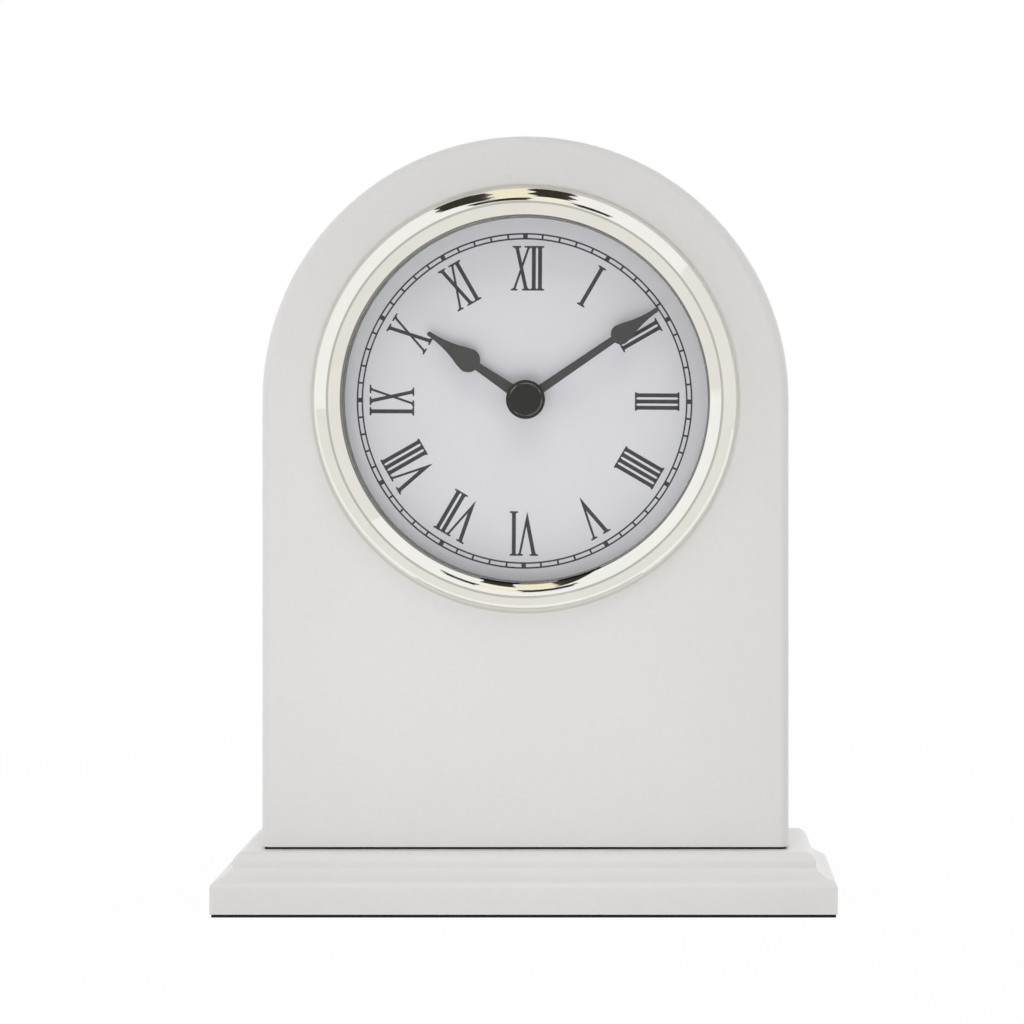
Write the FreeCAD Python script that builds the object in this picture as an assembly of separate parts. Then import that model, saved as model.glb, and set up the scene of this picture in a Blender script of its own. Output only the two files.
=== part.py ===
import FreeCAD, Part
import math
import os

# Arch-topped mantel clock: a painted case on a moulded plinth, with a glazed round dial
# and a battery movement behind it.
# Millimetres. +Z is up and the dial faces -Y. The origin is the middle of the footprint,
# on the surface that the clock stands on.

V = FreeCAD.Vector

# Plinth
front_overhang = 12.0
side_overhang = 12.0
rear_ledge = 3.0
plinth_height = 15.2
slab_face_height = 6.4
shoulder_inset = 1.3
shoulder_height = 8.4
shoulder_bulge = 0.3
cove_inset = 5.3
cove_height = 11.2
cove_hollow = 0.25
step_height = 12.8
crown_inset = 8.2
crown_bulge = 0.45
felt_thickness = 0.8
felt_inset = 0.4
seat_thickness = 0.6
seat_inset = 0.8

# Case
arch_margin = 12.8
axis_rise = 115.4
front_panel_thickness = 12.0
frame_depth = 27.0
back_panel_thickness = 6.0
frame_floor = 10.0
front_edge_radius = 2.5
back_edge_chamfer = 1.0
access_hole_radius = 40.0
access_edge_chamfer = 1.0

# Screws
panel_screw_shank = 1.5
panel_screw_length = 18.0
panel_screw_head = 3.2
panel_screw_head_height = 1.8
panel_screw_foot_rise = 18.0
panel_screw_arch_angle = 45.0
plinth_screw_shank = 2.0
plinth_screw_bite = 8.0
plinth_screw_head = 4.2
plinth_screw_head_height = 2.4
plinth_screw_half_span = 45.0
clip_screw_shank = 1.3
clip_screw_length = 7.0
clip_screw_head = 2.4
clip_screw_head_height = 1.2

# Bezel, glass and dial
glass_radius = 48.4
glass_thickness = 1.8
glass_front_height = 0.9
glass_play = 0.2
sleeve_wall = 0.8
sleeve_play = 0.2
throat_step = 1.2
lip_round = 0.4
lip_height = 2.5
ridge_radius = 50.8
ridge_height = 4.0
ridge_flat = 0.3
rim_radius = 55.2
rim_edge_height = 0.7
rim_bulge = 0.55
band_bulge = 0.12
tab_count = 6
tab_width = 7.0
tab_reach = 1.8
tab_thickness = 0.6
dial_thickness = 0.8
clip_count = 4
clip_first_angle = 45.0
clip_width = 8.0
clip_nose = 2.1
clip_tail = 8.1
clip_thickness = 1.0
clip_room = 0.5

# Hands and what they turn on
running_play = 0.05
end_play = 0.3
bushing_radius = 3.0
bushing_overrun = 0.4
nut_sides = 6
nut_flats = 8.0
nut_thickness = 1.8
washer_radius = 4.4
washer_thickness = 0.3
rubber_radius = 9.0
rubber_thickness = 1.0
hour_pipe_radius = 2.0
hour_pipe_overrun = 0.2
minute_arbor_radius = 1.3
arbor_tip_radius = 0.8
arbor_tip_length = 0.8
hand_thickness = 0.5
hand_hub_radius = 4.3
collet_wall = 0.7
collet_length = 0.5
cap_radius = 5.05
cap_thickness = 1.4
cap_ring_width = 0.75
cap_ring_height = 0.4
cap_to_glass = 0.9
hour_hand_angle = 304.2
hour_hand_length = 30.8
hour_stem_root = 3.3
hour_stem_neck = 2.1
hour_leaf_width = 6.3
hour_tip_width = 1.2
minute_hand_angle = 55.6
minute_hand_length = 41.4
minute_stem_root = 2.4
minute_stem_neck = 1.85
minute_leaf_width = 5.2
minute_tip_width = 1.2
# Each leaf outline as shares of the hand's length and of its leaf width: neck, shoulder,
# widest point, waist and start of the tip.
hour_leaf_length_shares = (0.492, 0.524, 0.588, 0.655, 0.775, 0.975)
hour_leaf_width_shares = (0.78, 1.0, 0.83, 0.45)
minute_leaf_length_shares = (0.662, 0.682, 0.722, 0.770, 0.852, 0.978)
minute_leaf_width_shares = (0.80, 1.0, 0.84, 0.47)

# Movement case
shell_wall = 1.2
shell_corner = 3.0
shell_split = 9.0
cell_bay_play = 0.7
works_foot_gap = 2.8
works_top_gap = 0.8
cell_bay_wall_height = 12.6
plate_thickness = 1.0
plate_play = 0.2
pillar_radius = 1.5
pillar_inset = 2.8
motion_post_radius = 0.6
pivot_radius = 0.35
pivot_length = 0.7
spindle_radius = 0.45

# Levels of the wheels. The first group is measured from the front shell's floor, the second
# from the back of the middle plate.
motion_wheel_thickness = 0.8
motion_step = 1.0
plate_gap = 1.1
train_wheel_thickness = 0.6
centre_level = 0.8
third_level = 3.0
stator_level = 3.2
second_level = 4.8
intermediate_level = 6.2
train_room = 7.6

# Teeth, modules and the directions from each wheel to the next, in degrees from +X to +Z
cannon_teeth = 12
motion_teeth = 36
motion_pinion_teeth = 10
hour_teeth = 40
knob_teeth = 12
cannon_module = 0.3125
hour_module = 0.3
centre_teeth = 64
third_pinion_teeth = 8
third_teeth = 60
second_pinion_teeth = 8
second_teeth = 50
intermediate_pinion_teeth = 10
intermediate_teeth = 48
rotor_teeth = 8
centre_module = 0.25
train_module = 0.2
motion_direction = 170.0
knob_direction = 200.0
third_direction = 100.0
second_direction = 20.0
intermediate_direction = -10.0
rotor_direction = 20.0
# A tooth's outline: heights as shares of the module, half widths as shares of half the pitch
wheel_tip_share = 0.85
wheel_root_share = 1.2
wheel_tip_width_share = 0.20
wheel_root_width_share = 0.60
pinion_tip_share = 0.85
pinion_root_share = 1.2
pinion_tip_width_share = 0.22
pinion_root_width_share = 0.46

# Setting knob
knob_shaft_radius = 1.2
knob_radius = 5.5
knob_height = 3.0
knob_gap = 0.3
knob_flutes = 20
knob_flute_depth = 0.45

# Motor and electronics
centre_arbor_radius = 1.0
centre_hub_radius = 2.2
centre_hub_length = 0.9
magnet_radius = 2.7
magnet_length = 1.6
magnet_gap = 0.5
stator_thickness = 0.8
stator_ring_width = 1.0
stator_half_width = 2.8
stator_bottom = 7.0
stator_top = 26.0
stator_lug_height = 3.4
core_offset = 7.4
core_width = 2.4
core_thickness = 0.6
bobbin_radius = 1.8
flange_radius = 2.9
flange_thickness = 0.8
flange_gap = 0.8
winding_radius = 2.6
coil_wall_gap = 0.5
board_knob_margin = 3.0
board_top = 25.0
board_thickness = 0.8
board_pillar_radius = 1.2
board_pillar_height = 2.0
board_hole_play = 1.0
board_edge = 2.8
chip_radius = 2.2
chip_height = 0.9
chip_across = 6.2
chip_rise = 14.0
crystal_radius = 1.0
crystal_length = 6.0
crystal_across = 12.2
crystal_rise = 8.0

# Cell and its contacts
cell_radius = 7.25
cell_length = 50.5
cell_nub_radius = 2.75
cell_nub_length = 1.3
cell_edge_chamfer = 0.5
cell_seat_gap = 0.3
saddle_thickness = 1.5
saddle_half_span = 12.0
saddle_rise = 3.2
contact_thickness = 0.4
contact_spring_depth = 0.85
contact_height = 9.0
contact_depth = 9.0
contact_dimple = 2.0
contact_strip_width = 2.4
contact_tail = 5.0

# A cut runs past the faces it goes through by this much.
overrun = 1.0

# Worked-out levels: heights
case_bottom_z = felt_thickness + plinth_height + seat_thickness
axis_z = case_bottom_z + axis_rise
arch_radius = rim_radius + arch_margin
case_depth = front_panel_thickness + frame_depth + back_panel_thickness
plinth_half_width = arch_radius + side_overhang
plinth_depth = front_overhang + case_depth + rear_ledge

# Worked-out levels: depths, from the front of the plinth at the lowest Y
plinth_front_y = -plinth_depth / 2
case_front_y = plinth_front_y + front_overhang
frame_front_y = case_front_y + front_panel_thickness
back_panel_y = frame_front_y + frame_depth
case_back_y = back_panel_y + back_panel_thickness
glass_front_y = case_front_y - glass_front_height
glass_back_y = glass_front_y + glass_thickness
cap_front_y = glass_back_y + cap_to_glass
minute_hand_front_y = cap_front_y + cap_thickness
minute_hand_back_y = minute_hand_front_y + hand_thickness
minute_collet_y = minute_hand_back_y + collet_length
hour_pipe_front_y = minute_collet_y + end_play
hour_hand_front_y = hour_pipe_front_y + hour_pipe_overrun
hour_hand_back_y = hour_hand_front_y + hand_thickness
hour_collet_y = hour_hand_back_y + collet_length
bushing_front_y = hour_collet_y + end_play
nut_front_y = bushing_front_y + bushing_overrun
washer_front_y = nut_front_y + nut_thickness
dial_front_y = washer_front_y + washer_thickness
dial_back_y = dial_front_y + dial_thickness
movement_y = dial_back_y + rubber_thickness

# Worked-out radii round the dial
throat_radius = glass_radius - throat_step
sleeve_inner_radius = glass_radius + glass_play
sleeve_radius = sleeve_inner_radius + sleeve_wall
dial_bore_radius = sleeve_radius + sleeve_play
clip_inner_radius = sleeve_inner_radius - clip_nose
clip_outer_radius = sleeve_radius + clip_tail
clip_screw_circle = (dial_bore_radius + clip_outer_radius) / 2
frame_inner_radius = clip_outer_radius + clip_room
frame_wall_middle = (frame_inner_radius + arch_radius) / 2

# Worked-out depths inside the movement, counted back from its front face
hour_wheel_level = shell_wall + end_play
motion_wheel_level = hour_wheel_level + motion_wheel_thickness + motion_step
mid_plate_level = motion_wheel_level + motion_wheel_thickness + plate_gap
train_base = mid_plate_level + plate_thickness
back_floor_level = train_base + train_room
movement_depth = back_floor_level + shell_wall
divider_top = -stator_bottom - works_foot_gap
bay_top = divider_top - shell_wall
bay_floor = bay_top - cell_bay_play - 2 * (cell_radius + cell_seat_gap)
case_foot = bay_floor - shell_wall
inner_top = stator_top + works_top_gap
case_top = inner_top + shell_wall
cell_axis_up = bay_floor + cell_seat_gap + cell_radius
cell_axis_back = shell_wall + cell_seat_gap + cell_radius


def polar(distance, degrees):
    """Offset across and up for a distance in a direction."""
    angle = math.radians(degrees)
    return (distance * math.cos(angle), distance * math.sin(angle))


def step_from(place, distance, degrees):
    """Place reached from another place by a distance in a direction."""
    across, up = polar(distance, degrees)
    return (place[0] + across, place[1] + up)


def pitch_radius(teeth, module):
    """Radius of a wheel's pitch circle."""
    return teeth * module / 2


def centre_distance(teeth_a, teeth_b, module):
    """Distance between the axes of two wheels in mesh."""
    return pitch_radius(teeth_a, module) + pitch_radius(teeth_b, module)


def meshed_phase(phase, teeth, next_teeth, degrees):
    """Angle of one tooth of the next wheel, so that its gap meets this wheel's tooth."""
    return degrees + 180 + 180 / next_teeth - (phase - degrees) * teeth / next_teeth


# Places of the wheels, across and up from the hands' axis
centre_place = (0, 0)
motion_distance = centre_distance(cannon_teeth, motion_teeth, cannon_module)
motion_place = polar(motion_distance, motion_direction)
knob_distance = centre_distance(knob_teeth, motion_teeth, cannon_module)
knob_place = step_from(motion_place, knob_distance, knob_direction)
third_distance = centre_distance(centre_teeth, third_pinion_teeth, centre_module)
third_place = polar(third_distance, third_direction)
second_distance = centre_distance(third_teeth, second_pinion_teeth, train_module)
second_place = step_from(third_place, second_distance, second_direction)
intermediate_distance = centre_distance(second_teeth, intermediate_pinion_teeth, train_module)
intermediate_place = step_from(second_place, intermediate_distance, intermediate_direction)
rotor_distance = centre_distance(intermediate_teeth, rotor_teeth, train_module)
rotor_place = step_from(intermediate_place, rotor_distance, rotor_direction)

# The movement is as wide inside as the longer of two rows: the cell between its contacts, or
# the train with its motor and coil.
stator_column = rotor_place[0]
core_across = stator_column + core_offset
cell_row = cell_length / 2 + cell_seat_gap + contact_spring_depth + contact_thickness
coil_row = core_across + flange_radius + coil_wall_gap
inner_half_width = max(cell_row, coil_row)
outer_half_width = inner_half_width + shell_wall

# Angle of one tooth of each wheel, worked along each train from a tooth that points at its mate
cannon_phase = motion_direction
motion_phase = meshed_phase(cannon_phase, cannon_teeth, motion_teeth, motion_direction)
knob_phase = meshed_phase(motion_phase, motion_teeth, knob_teeth, knob_direction)
hour_phase = motion_direction
motion_pinion_phase = meshed_phase(hour_phase, hour_teeth, motion_pinion_teeth, motion_direction)
centre_phase = third_direction
third_pinion_phase = meshed_phase(centre_phase, centre_teeth, third_pinion_teeth, third_direction)
third_phase = second_direction
second_pinion_phase = meshed_phase(third_phase, third_teeth, second_pinion_teeth, second_direction)
second_phase = intermediate_direction
intermediate_pinion_phase = meshed_phase(second_phase, second_teeth, intermediate_pinion_teeth,
                                         intermediate_direction)
intermediate_phase = rotor_direction
rotor_phase = meshed_phase(intermediate_phase, intermediate_teeth, rotor_teeth, rotor_direction)


# Building blocks

def line(start, end):
    """Straight edge."""
    return Part.LineSegment(start, end).toShape()


def arc(start, middle, end):
    """Arc edge through three points."""
    return Part.Arc(start, middle, end).toShape()


def polygon(points):
    """Flat face inside a closed run of points."""
    return Part.Face(Part.makePolygon(list(points) + [points[0]]))


def face_of(edges):
    """Flat face inside a closed run of edges."""
    return Part.Face(Part.Wire(edges))


def pushed(face, depth):
    """Solid made by pushing a face straight back."""
    return face.extrude(V(0, depth, 0))


def drum(place, radius, front_y, back_y):
    """Round bar along Y, from one depth to another, at a place across and up from the axis."""
    start = V(place[0], front_y, axis_z + place[1])
    return Part.makeCylinder(radius, back_y - front_y, start, V(0, 1, 0))


def tube(place, outer, inner, front_y, back_y):
    """Round tube along Y."""
    return drum(place, outer, front_y, back_y).cut(drum(place, inner, front_y, back_y))


def brick(low, high):
    """Box between two corners."""
    return Part.makeBox(high[0] - low[0], high[1] - low[1], high[2] - low[2], V(*low))


def movement_brick(across, levels, up):
    """Box inside the movement, from its ranges across, back and up."""
    low = (across[0], movement_y + levels[0], axis_z + up[0])
    high = (across[1], movement_y + levels[1], axis_z + up[1])
    return brick(low, high)


def movement_drum(place, radius, levels):
    """Round bar inside the movement, from one level to another."""
    return drum(place, radius, movement_y + levels[0], movement_y + levels[1])


def turned(edges):
    """Solid of revolution about the hands' axis, from a closed profile of radius and depth."""
    solid = face_of(edges).revolve(V(0, 0, 0), V(0, 1, 0), 360)
    solid.translate(V(0, 0, axis_z))
    return solid


def profile_point(radius, height):
    """Point of a turned profile: a radius, and a height in front of the case."""
    return V(radius, case_front_y - height, 0)


def bulged(start, end, bulge):
    """Arc between two points that stands off their chord, to the right of its direction."""
    chord = end.sub(start)
    normal = chord.cross(V(0, 0, 1)).normalize()
    middle = start.add(end).multiply(0.5).add(normal.multiply(bulge))
    return arc(start, middle, end)


def joined(shapes):
    """One solid from touching or overlapping shapes."""
    return shapes[0].multiFuse(shapes[1:]).removeSplitter()


def cut_all(shape, tools):
    """Shape less several tools."""
    return shape.cut(tools)


def save(name, shape):
    """Write one piece, or one group of alike pieces."""
    shape.exportStep("parts/" + name + ".step")


# Case and plinth

def arch_face(radius, bottom_z, y):
    """Arch outline: straight sides under a half circle about the dial's axis."""
    foot_left = V(-radius, y, bottom_z)
    spring_left = V(-radius, y, axis_z)
    crown = V(0, y, axis_z + radius)
    spring_right = V(radius, y, axis_z)
    foot_right = V(radius, y, bottom_z)
    edges = [line(foot_left, spring_left), arc(spring_left, crown, spring_right),
             line(spring_right, foot_right), line(foot_right, foot_left)]
    return face_of(edges)


def rim_edges(panel, edge_y):
    """Side and top edges of an arch panel at one depth."""
    return [edge for edge in panel.Edges
            if abs(edge.BoundBox.YMin - edge_y) + abs(edge.BoundBox.YMax - edge_y) < running_play
            and edge.BoundBox.ZMax > case_bottom_z + front_edge_radius]


def countersunk_screw(head_centre, direction, sizes):
    """Screw with a plain shank, whose head lies flush in the surface at its centre."""
    shank, length, head, head_height = sizes
    cone = Part.makeCone(head, shank, head_height, head_centre, direction)
    bar_start = head_centre.add(V(direction).multiply(head_height))
    bar = Part.makeCylinder(shank, length - head_height, bar_start, direction)
    return joined([cone, bar])


def raised_screw(seat, direction, sizes):
    """Screw with a plain shank, whose flat head stands on the surface at its seat."""
    shank, length, head, head_height = sizes
    head_drum = Part.makeCylinder(head, head_height, seat, V(direction).multiply(-1))
    bar = Part.makeCylinder(shank, length, seat, direction)
    return joined([head_drum, bar])


panel_screw = (panel_screw_shank, panel_screw_length, panel_screw_head, panel_screw_head_height)
panel_arch_across, panel_arch_up = polar(frame_wall_middle, panel_screw_arch_angle)
panel_screw_places = [V(side * across, case_back_y, z)
                      for side in (-1, 1)
                      for across, z in ((frame_wall_middle, case_bottom_z + panel_screw_foot_rise),
                                        (panel_arch_across, axis_z + panel_arch_up))]
panel_screws = Part.makeCompound([countersunk_screw(place, V(0, -1, 0), panel_screw)
                                  for place in panel_screw_places])

plinth_screw_length = plinth_height + seat_thickness + plinth_screw_bite
plinth_screw = (plinth_screw_shank, plinth_screw_length, plinth_screw_head, plinth_screw_head_height)
frame_middle_y = frame_front_y + frame_depth / 2
plinth_screw_places = [V(side * plinth_screw_half_span, frame_middle_y, felt_thickness)
                       for side in (-1, 1)]
plinth_screws = Part.makeCompound([countersunk_screw(place, V(0, 0, 1), plinth_screw)
                                   for place in plinth_screw_places])

clip_screw = (clip_screw_shank, clip_screw_length, clip_screw_head, clip_screw_head_height)
clip_angles = [clip_first_angle + turn * 360 / clip_count for turn in range(clip_count)]
clip_screw_places = []
for clip_angle in clip_angles:
    across, up = polar(clip_screw_circle, clip_angle)
    clip_screw_places.append(V(across, frame_front_y + clip_thickness, axis_z + up))
clip_screws = Part.makeCompound([raised_screw(place, V(0, -1, 0), clip_screw)
                                 for place in clip_screw_places])


def case_front_panel():
    """Front of the case, bored for the dial."""
    panel = pushed(arch_face(arch_radius, case_bottom_z, case_front_y), front_panel_thickness)
    panel = panel.makeFillet(front_edge_radius, rim_edges(panel, case_front_y))
    bore = drum(centre_place, dial_bore_radius, case_front_y - overrun, frame_front_y + overrun)
    return cut_all(panel, [bore, clip_screws])


def case_arch_frame():
    """Arch-shaped side wall and floor of the case."""
    outside = pushed(arch_face(arch_radius, case_bottom_z, frame_front_y), frame_depth)
    hollow_face = arch_face(frame_inner_radius, case_bottom_z + frame_floor, frame_front_y - overrun)
    hollow = pushed(hollow_face, frame_depth + overrun + overrun)
    return cut_all(outside, [hollow, panel_screws, plinth_screws])


def case_back_panel():
    """Back of the case, with the round hole that the cell and the knob are reached through."""
    panel = pushed(arch_face(arch_radius, case_bottom_z, back_panel_y), back_panel_thickness)
    panel = panel.makeChamfer(back_edge_chamfer, rim_edges(panel, case_back_y))
    hole = drum(centre_place, access_hole_radius, back_panel_y - overrun, case_back_y + overrun)
    start = V(0, case_back_y - access_edge_chamfer, axis_z)
    wide = access_hole_radius + access_edge_chamfer
    countersink = Part.makeCone(access_hole_radius, wide, access_edge_chamfer, start, V(0, 1, 0))
    return cut_all(panel, [hole, countersink, panel_screws])


def moulding_edges(point):
    """Moulded edge of the plinth from its underside to its top, through a point function."""
    foot = point(0, 0)
    slab_top = point(0, slab_face_height)
    shoulder = point(shoulder_inset, shoulder_height)
    cove = point(cove_inset, cove_height)
    step = point(cove_inset, step_height)
    crown = point(crown_inset, plinth_height)

    def between(start, end, inset_bulge):
        middle_inset = (start[0] + end[0]) / 2 - inset_bulge
        middle_height = (start[1] + end[1]) / 2 + inset_bulge
        return point(middle_inset, middle_height)

    shoulder_middle = between((0, slab_face_height), (shoulder_inset, shoulder_height), shoulder_bulge)
    cove_middle = between((shoulder_inset, shoulder_height), (cove_inset, cove_height), -cove_hollow)
    crown_middle = between((cove_inset, step_height), (crown_inset, plinth_height), crown_bulge)
    return [line(foot, slab_top), arc(slab_top, shoulder_middle, shoulder),
            arc(shoulder, cove_middle, cove), line(cove, step), arc(step, crown_middle, crown)]


def plinth():
    """Moulded board, worked on its front and both ends and plain at the back."""
    def front_point(inset, height):
        return V(-plinth_half_width, plinth_front_y + inset, felt_thickness + height)

    def end_point(side):
        def point(inset, height):
            return V(side * (plinth_half_width - inset), plinth_front_y, felt_thickness + height)
        return point

    rear_y = plinth_front_y + plinth_depth
    rear_top = V(-plinth_half_width, rear_y, felt_thickness + plinth_height)
    rear_foot = V(-plinth_half_width, rear_y, felt_thickness)
    front_edges = moulding_edges(front_point)
    front_edges += [line(front_point(crown_inset, plinth_height), rear_top),
                    line(rear_top, rear_foot), line(rear_foot, front_point(0, 0))]
    along = face_of(front_edges).extrude(V(plinth_half_width + plinth_half_width, 0, 0))
    left = end_point(-1)
    right = end_point(1)
    end_edges = moulding_edges(left)
    end_edges += [line(left(crown_inset, plinth_height), right(crown_inset, plinth_height))]
    end_edges += moulding_edges(right)
    end_edges += [line(right(0, 0), left(0, 0))]
    through = pushed(Part.Face(Part.Wire(Part.__sortEdges__(end_edges))), plinth_depth)
    return cut_all(along.common(through), [plinth_screws])


def sheet(half_width, front_y, back_y, bottom_z, thickness):
    """Thin flat sheet."""
    return brick((-half_width, front_y, bottom_z), (half_width, back_y, bottom_z + thickness))


def base_felt():
    """Sheet under the plinth, which the clock stands on."""
    return sheet(plinth_half_width - felt_inset, plinth_front_y + felt_inset,
                 plinth_front_y + plinth_depth - felt_inset, 0, felt_thickness)


def seat_gasket():
    """Thin dark sheet between the case and the plinth."""
    pad = sheet(arch_radius - seat_inset, case_front_y + seat_inset, case_back_y - seat_inset,
                felt_thickness + plinth_height, seat_thickness)
    return cut_all(pad, [plinth_screws])


# Bezel, glass and dial

def bezel():
    """Ring in front of the case: an outer band up to a ridge, and an inner band down to the glass."""
    rim = profile_point(rim_radius, 0)
    rim_edge = profile_point(rim_radius, rim_edge_height)
    ridge_out = profile_point(ridge_radius + ridge_flat, ridge_height)
    ridge_in = profile_point(ridge_radius - ridge_flat, ridge_height)
    lip_out = profile_point(throat_radius + lip_round, lip_height)
    lip_in = profile_point(throat_radius, lip_height - lip_round)
    throat = profile_point(throat_radius, glass_front_height)
    seat = profile_point(sleeve_radius, glass_front_height)
    foot = profile_point(sleeve_radius, 0)
    outline = [line(rim, rim_edge), bulged(rim_edge, ridge_out, -rim_bulge),
               line(ridge_out, ridge_in), bulged(ridge_in, lip_out, -band_bulge),
               line(lip_out, lip_in), line(lip_in, throat), line(throat, seat),
               line(seat, foot), line(foot, rim)]
    return turned(outline)


def bezel_sleeve():
    """Sleeve behind the bezel, round the glass and the dial, with tabs bent in behind the dial."""
    ring = tube(centre_place, sleeve_radius, sleeve_inner_radius, glass_front_y, frame_front_y)
    keep = drum(centre_place, sleeve_inner_radius + sleeve_wall / 2, dial_back_y,
                dial_back_y + tab_thickness)
    inside = drum(centre_place, sleeve_inner_radius - tab_reach, dial_back_y - overrun,
                  dial_back_y + tab_thickness + overrun)
    tab_ring = keep.cut(inside)
    tabs = []
    for turn in range(tab_count):
        bar = brick((0, dial_back_y, axis_z - tab_width / 2),
                    (sleeve_radius, dial_back_y + tab_thickness, axis_z + tab_width / 2))
        bar.rotate(V(0, 0, axis_z), V(0, 1, 0), turn * 360 / tab_count)
        tabs.append(tab_ring.common(bar))
    return joined([ring] + tabs)


def bezel_clips():
    """Flat clips, screwed behind the front panel, that hold the bezel's sleeve in its bore."""
    clips = []
    for angle, place in zip(clip_angles, clip_screw_places):
        round_end = clip_width / 2
        tail = clip_outer_radius - round_end
        nose_low = V(clip_inner_radius, frame_front_y, axis_z - round_end)
        tail_low = V(tail, frame_front_y, axis_z - round_end)
        tail_tip = V(clip_outer_radius, frame_front_y, axis_z)
        tail_high = V(tail, frame_front_y, axis_z + round_end)
        nose_high = V(clip_inner_radius, frame_front_y, axis_z + round_end)
        outline = [line(nose_low, tail_low), arc(tail_low, tail_tip, tail_high),
                   line(tail_high, nose_high), line(nose_high, nose_low)]
        clip = pushed(face_of(outline), clip_thickness)
        clip.rotate(V(0, 0, axis_z), V(0, 1, 0), -angle)
        clips.append(clip.cut(raised_screw(place, V(0, -1, 0), clip_screw)))
    return Part.makeCompound(clips)


def dial_plate():
    """Thin round plate that carries the printed dial."""
    return tube(centre_place, glass_radius, bushing_radius, dial_front_y, dial_back_y)


def fixing_nut():
    """Six-sided nut that clamps the movement to the dial."""
    step = 360 / nut_sides
    corner = nut_flats / 2 / math.cos(math.radians(step / 2))
    points = []
    for turn in range(nut_sides):
        across, up = polar(corner, step / 2 + turn * step)
        points.append(V(across, nut_front_y, axis_z + up))
    body = pushed(polygon(points), nut_thickness)
    return body.cut(drum(centre_place, bushing_radius, nut_front_y, washer_front_y))


# Hands

def hand_blade(degrees, stem, leaf, tip_width, shares, front_y):
    """Flat hand: a tapered stem, a leaf with round shoulders, and a fine tip."""
    length, root, neck = stem
    leaf_width = leaf
    along_shares, width_shares = shares
    neck_at, shoulder_at, widest_at, waist_at, taper_at, tip_at = [length * s for s in along_shares]
    shoulder, widest, waist, taper = [leaf_width / 2 * s for s in width_shares]

    def point(along, aside):
        turn = math.radians(90 - degrees)
        across = along * math.cos(turn) - aside * math.sin(turn)
        up = along * math.sin(turn) + aside * math.cos(turn)
        return V(across, front_y, axis_z + up)

    edges = []
    for side in (-1, 1):
        start = point(0, side * root / 2)
        neck_point = point(neck_at, side * neck / 2)
        widest_point = point(widest_at, side * widest)
        waist_point = point(waist_at, side * waist)
        tip_point = point(tip_at, side * tip_width / 2)
        half = [line(start, neck_point),
                arc(neck_point, point(shoulder_at, side * shoulder), widest_point),
                line(widest_point, waist_point),
                arc(waist_point, point(taper_at, side * taper), tip_point)]
        edges += half
    edges.append(arc(point(tip_at, -tip_width / 2), point(length, 0), point(tip_at, tip_width / 2)))
    edges.append(line(point(0, -root / 2), point(0, root / 2)))
    return pushed(Part.Face(Part.Wire(Part.__sortEdges__(edges))), hand_thickness)


def hour_hand():
    """Hour hand, pressed on the hour pipe."""
    stem = (hour_hand_length, hour_stem_root, hour_stem_neck)
    shares = (hour_leaf_length_shares, hour_leaf_width_shares)
    blade = hand_blade(hour_hand_angle, stem, hour_leaf_width, hour_tip_width, shares,
                       hour_hand_front_y)
    hub = drum(centre_place, hand_hub_radius, hour_hand_front_y, hour_hand_back_y)
    collet = drum(centre_place, hour_pipe_radius + collet_wall, hour_hand_back_y, hour_collet_y)
    bore = drum(centre_place, hour_pipe_radius, hour_hand_front_y - overrun, hour_collet_y + overrun)
    return joined([blade, hub, collet]).cut(bore)


def minute_hand():
    """Minute hand, pressed on the minute arbor."""
    stem = (minute_hand_length, minute_stem_root, minute_stem_neck)
    shares = (minute_leaf_length_shares, minute_leaf_width_shares)
    blade = hand_blade(minute_hand_angle, stem, minute_leaf_width, minute_tip_width, shares,
                       minute_hand_front_y)
    hub = drum(centre_place, hand_hub_radius, minute_hand_front_y, minute_hand_back_y)
    collet = drum(centre_place, minute_arbor_radius + collet_wall, minute_hand_back_y,
                  minute_collet_y)
    bore = drum(centre_place, minute_arbor_radius, minute_hand_front_y - overrun,
                minute_collet_y + overrun)
    return joined([blade, hub, collet]).cut(bore)


def hand_cap():
    """Round cap over the hands' centre, with a raised rim."""
    body = drum(centre_place, cap_radius, cap_front_y, minute_hand_front_y)
    recess = drum(centre_place, cap_radius - cap_ring_width, cap_front_y - overrun,
                  cap_front_y + cap_ring_height)
    socket = drum(centre_place, arbor_tip_radius, minute_hand_front_y - arbor_tip_length,
                  minute_hand_front_y + overrun)
    return cut_all(body, [recess, socket])


# Wheels

def toothed(place, teeth, module, phase, levels, shares):
    """Wheel or pinion with straight-flanked teeth, each a four-point outline."""
    tip_share, root_share, tip_width_share, root_width_share = shares
    tip = pitch_radius(teeth, module) + module * tip_share
    root = pitch_radius(teeth, module) - module * root_share
    half_pitch = 180 / teeth
    corners = [(root, -root_width_share), (tip, -tip_width_share),
               (tip, tip_width_share), (root, root_width_share)]
    points = []
    for tooth in range(teeth):
        middle = phase + tooth * 360 / teeth
        for radius, width_share in corners:
            across, up = step_from(place, radius, middle + width_share * half_pitch)
            points.append(V(across, movement_y + levels[0], axis_z + up))
    return pushed(polygon(points), levels[1] - levels[0])


wheel_shares = (wheel_tip_share, wheel_root_share, wheel_tip_width_share, wheel_root_width_share)
pinion_shares = (pinion_tip_share, pinion_root_share, pinion_tip_width_share, pinion_root_width_share)


def span(level, thickness, margin):
    """Range of levels over a wheel's thickness, widened by a margin at both sides."""
    return (level - margin, level + thickness + margin)


def spindle(place):
    """Arbor of a train wheel, with a pivot at each end."""
    shaft = movement_drum(place, spindle_radius, (train_base + end_play, back_floor_level - end_play))
    pivots = movement_drum(place, pivot_radius,
                           (train_base - pivot_length, back_floor_level + pivot_length))
    return [shaft, pivots]


def pivot_holes(places, levels):
    """Running holes for the train's pivots."""
    return [movement_drum(place, pivot_radius + running_play, levels) for place in places]


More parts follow.
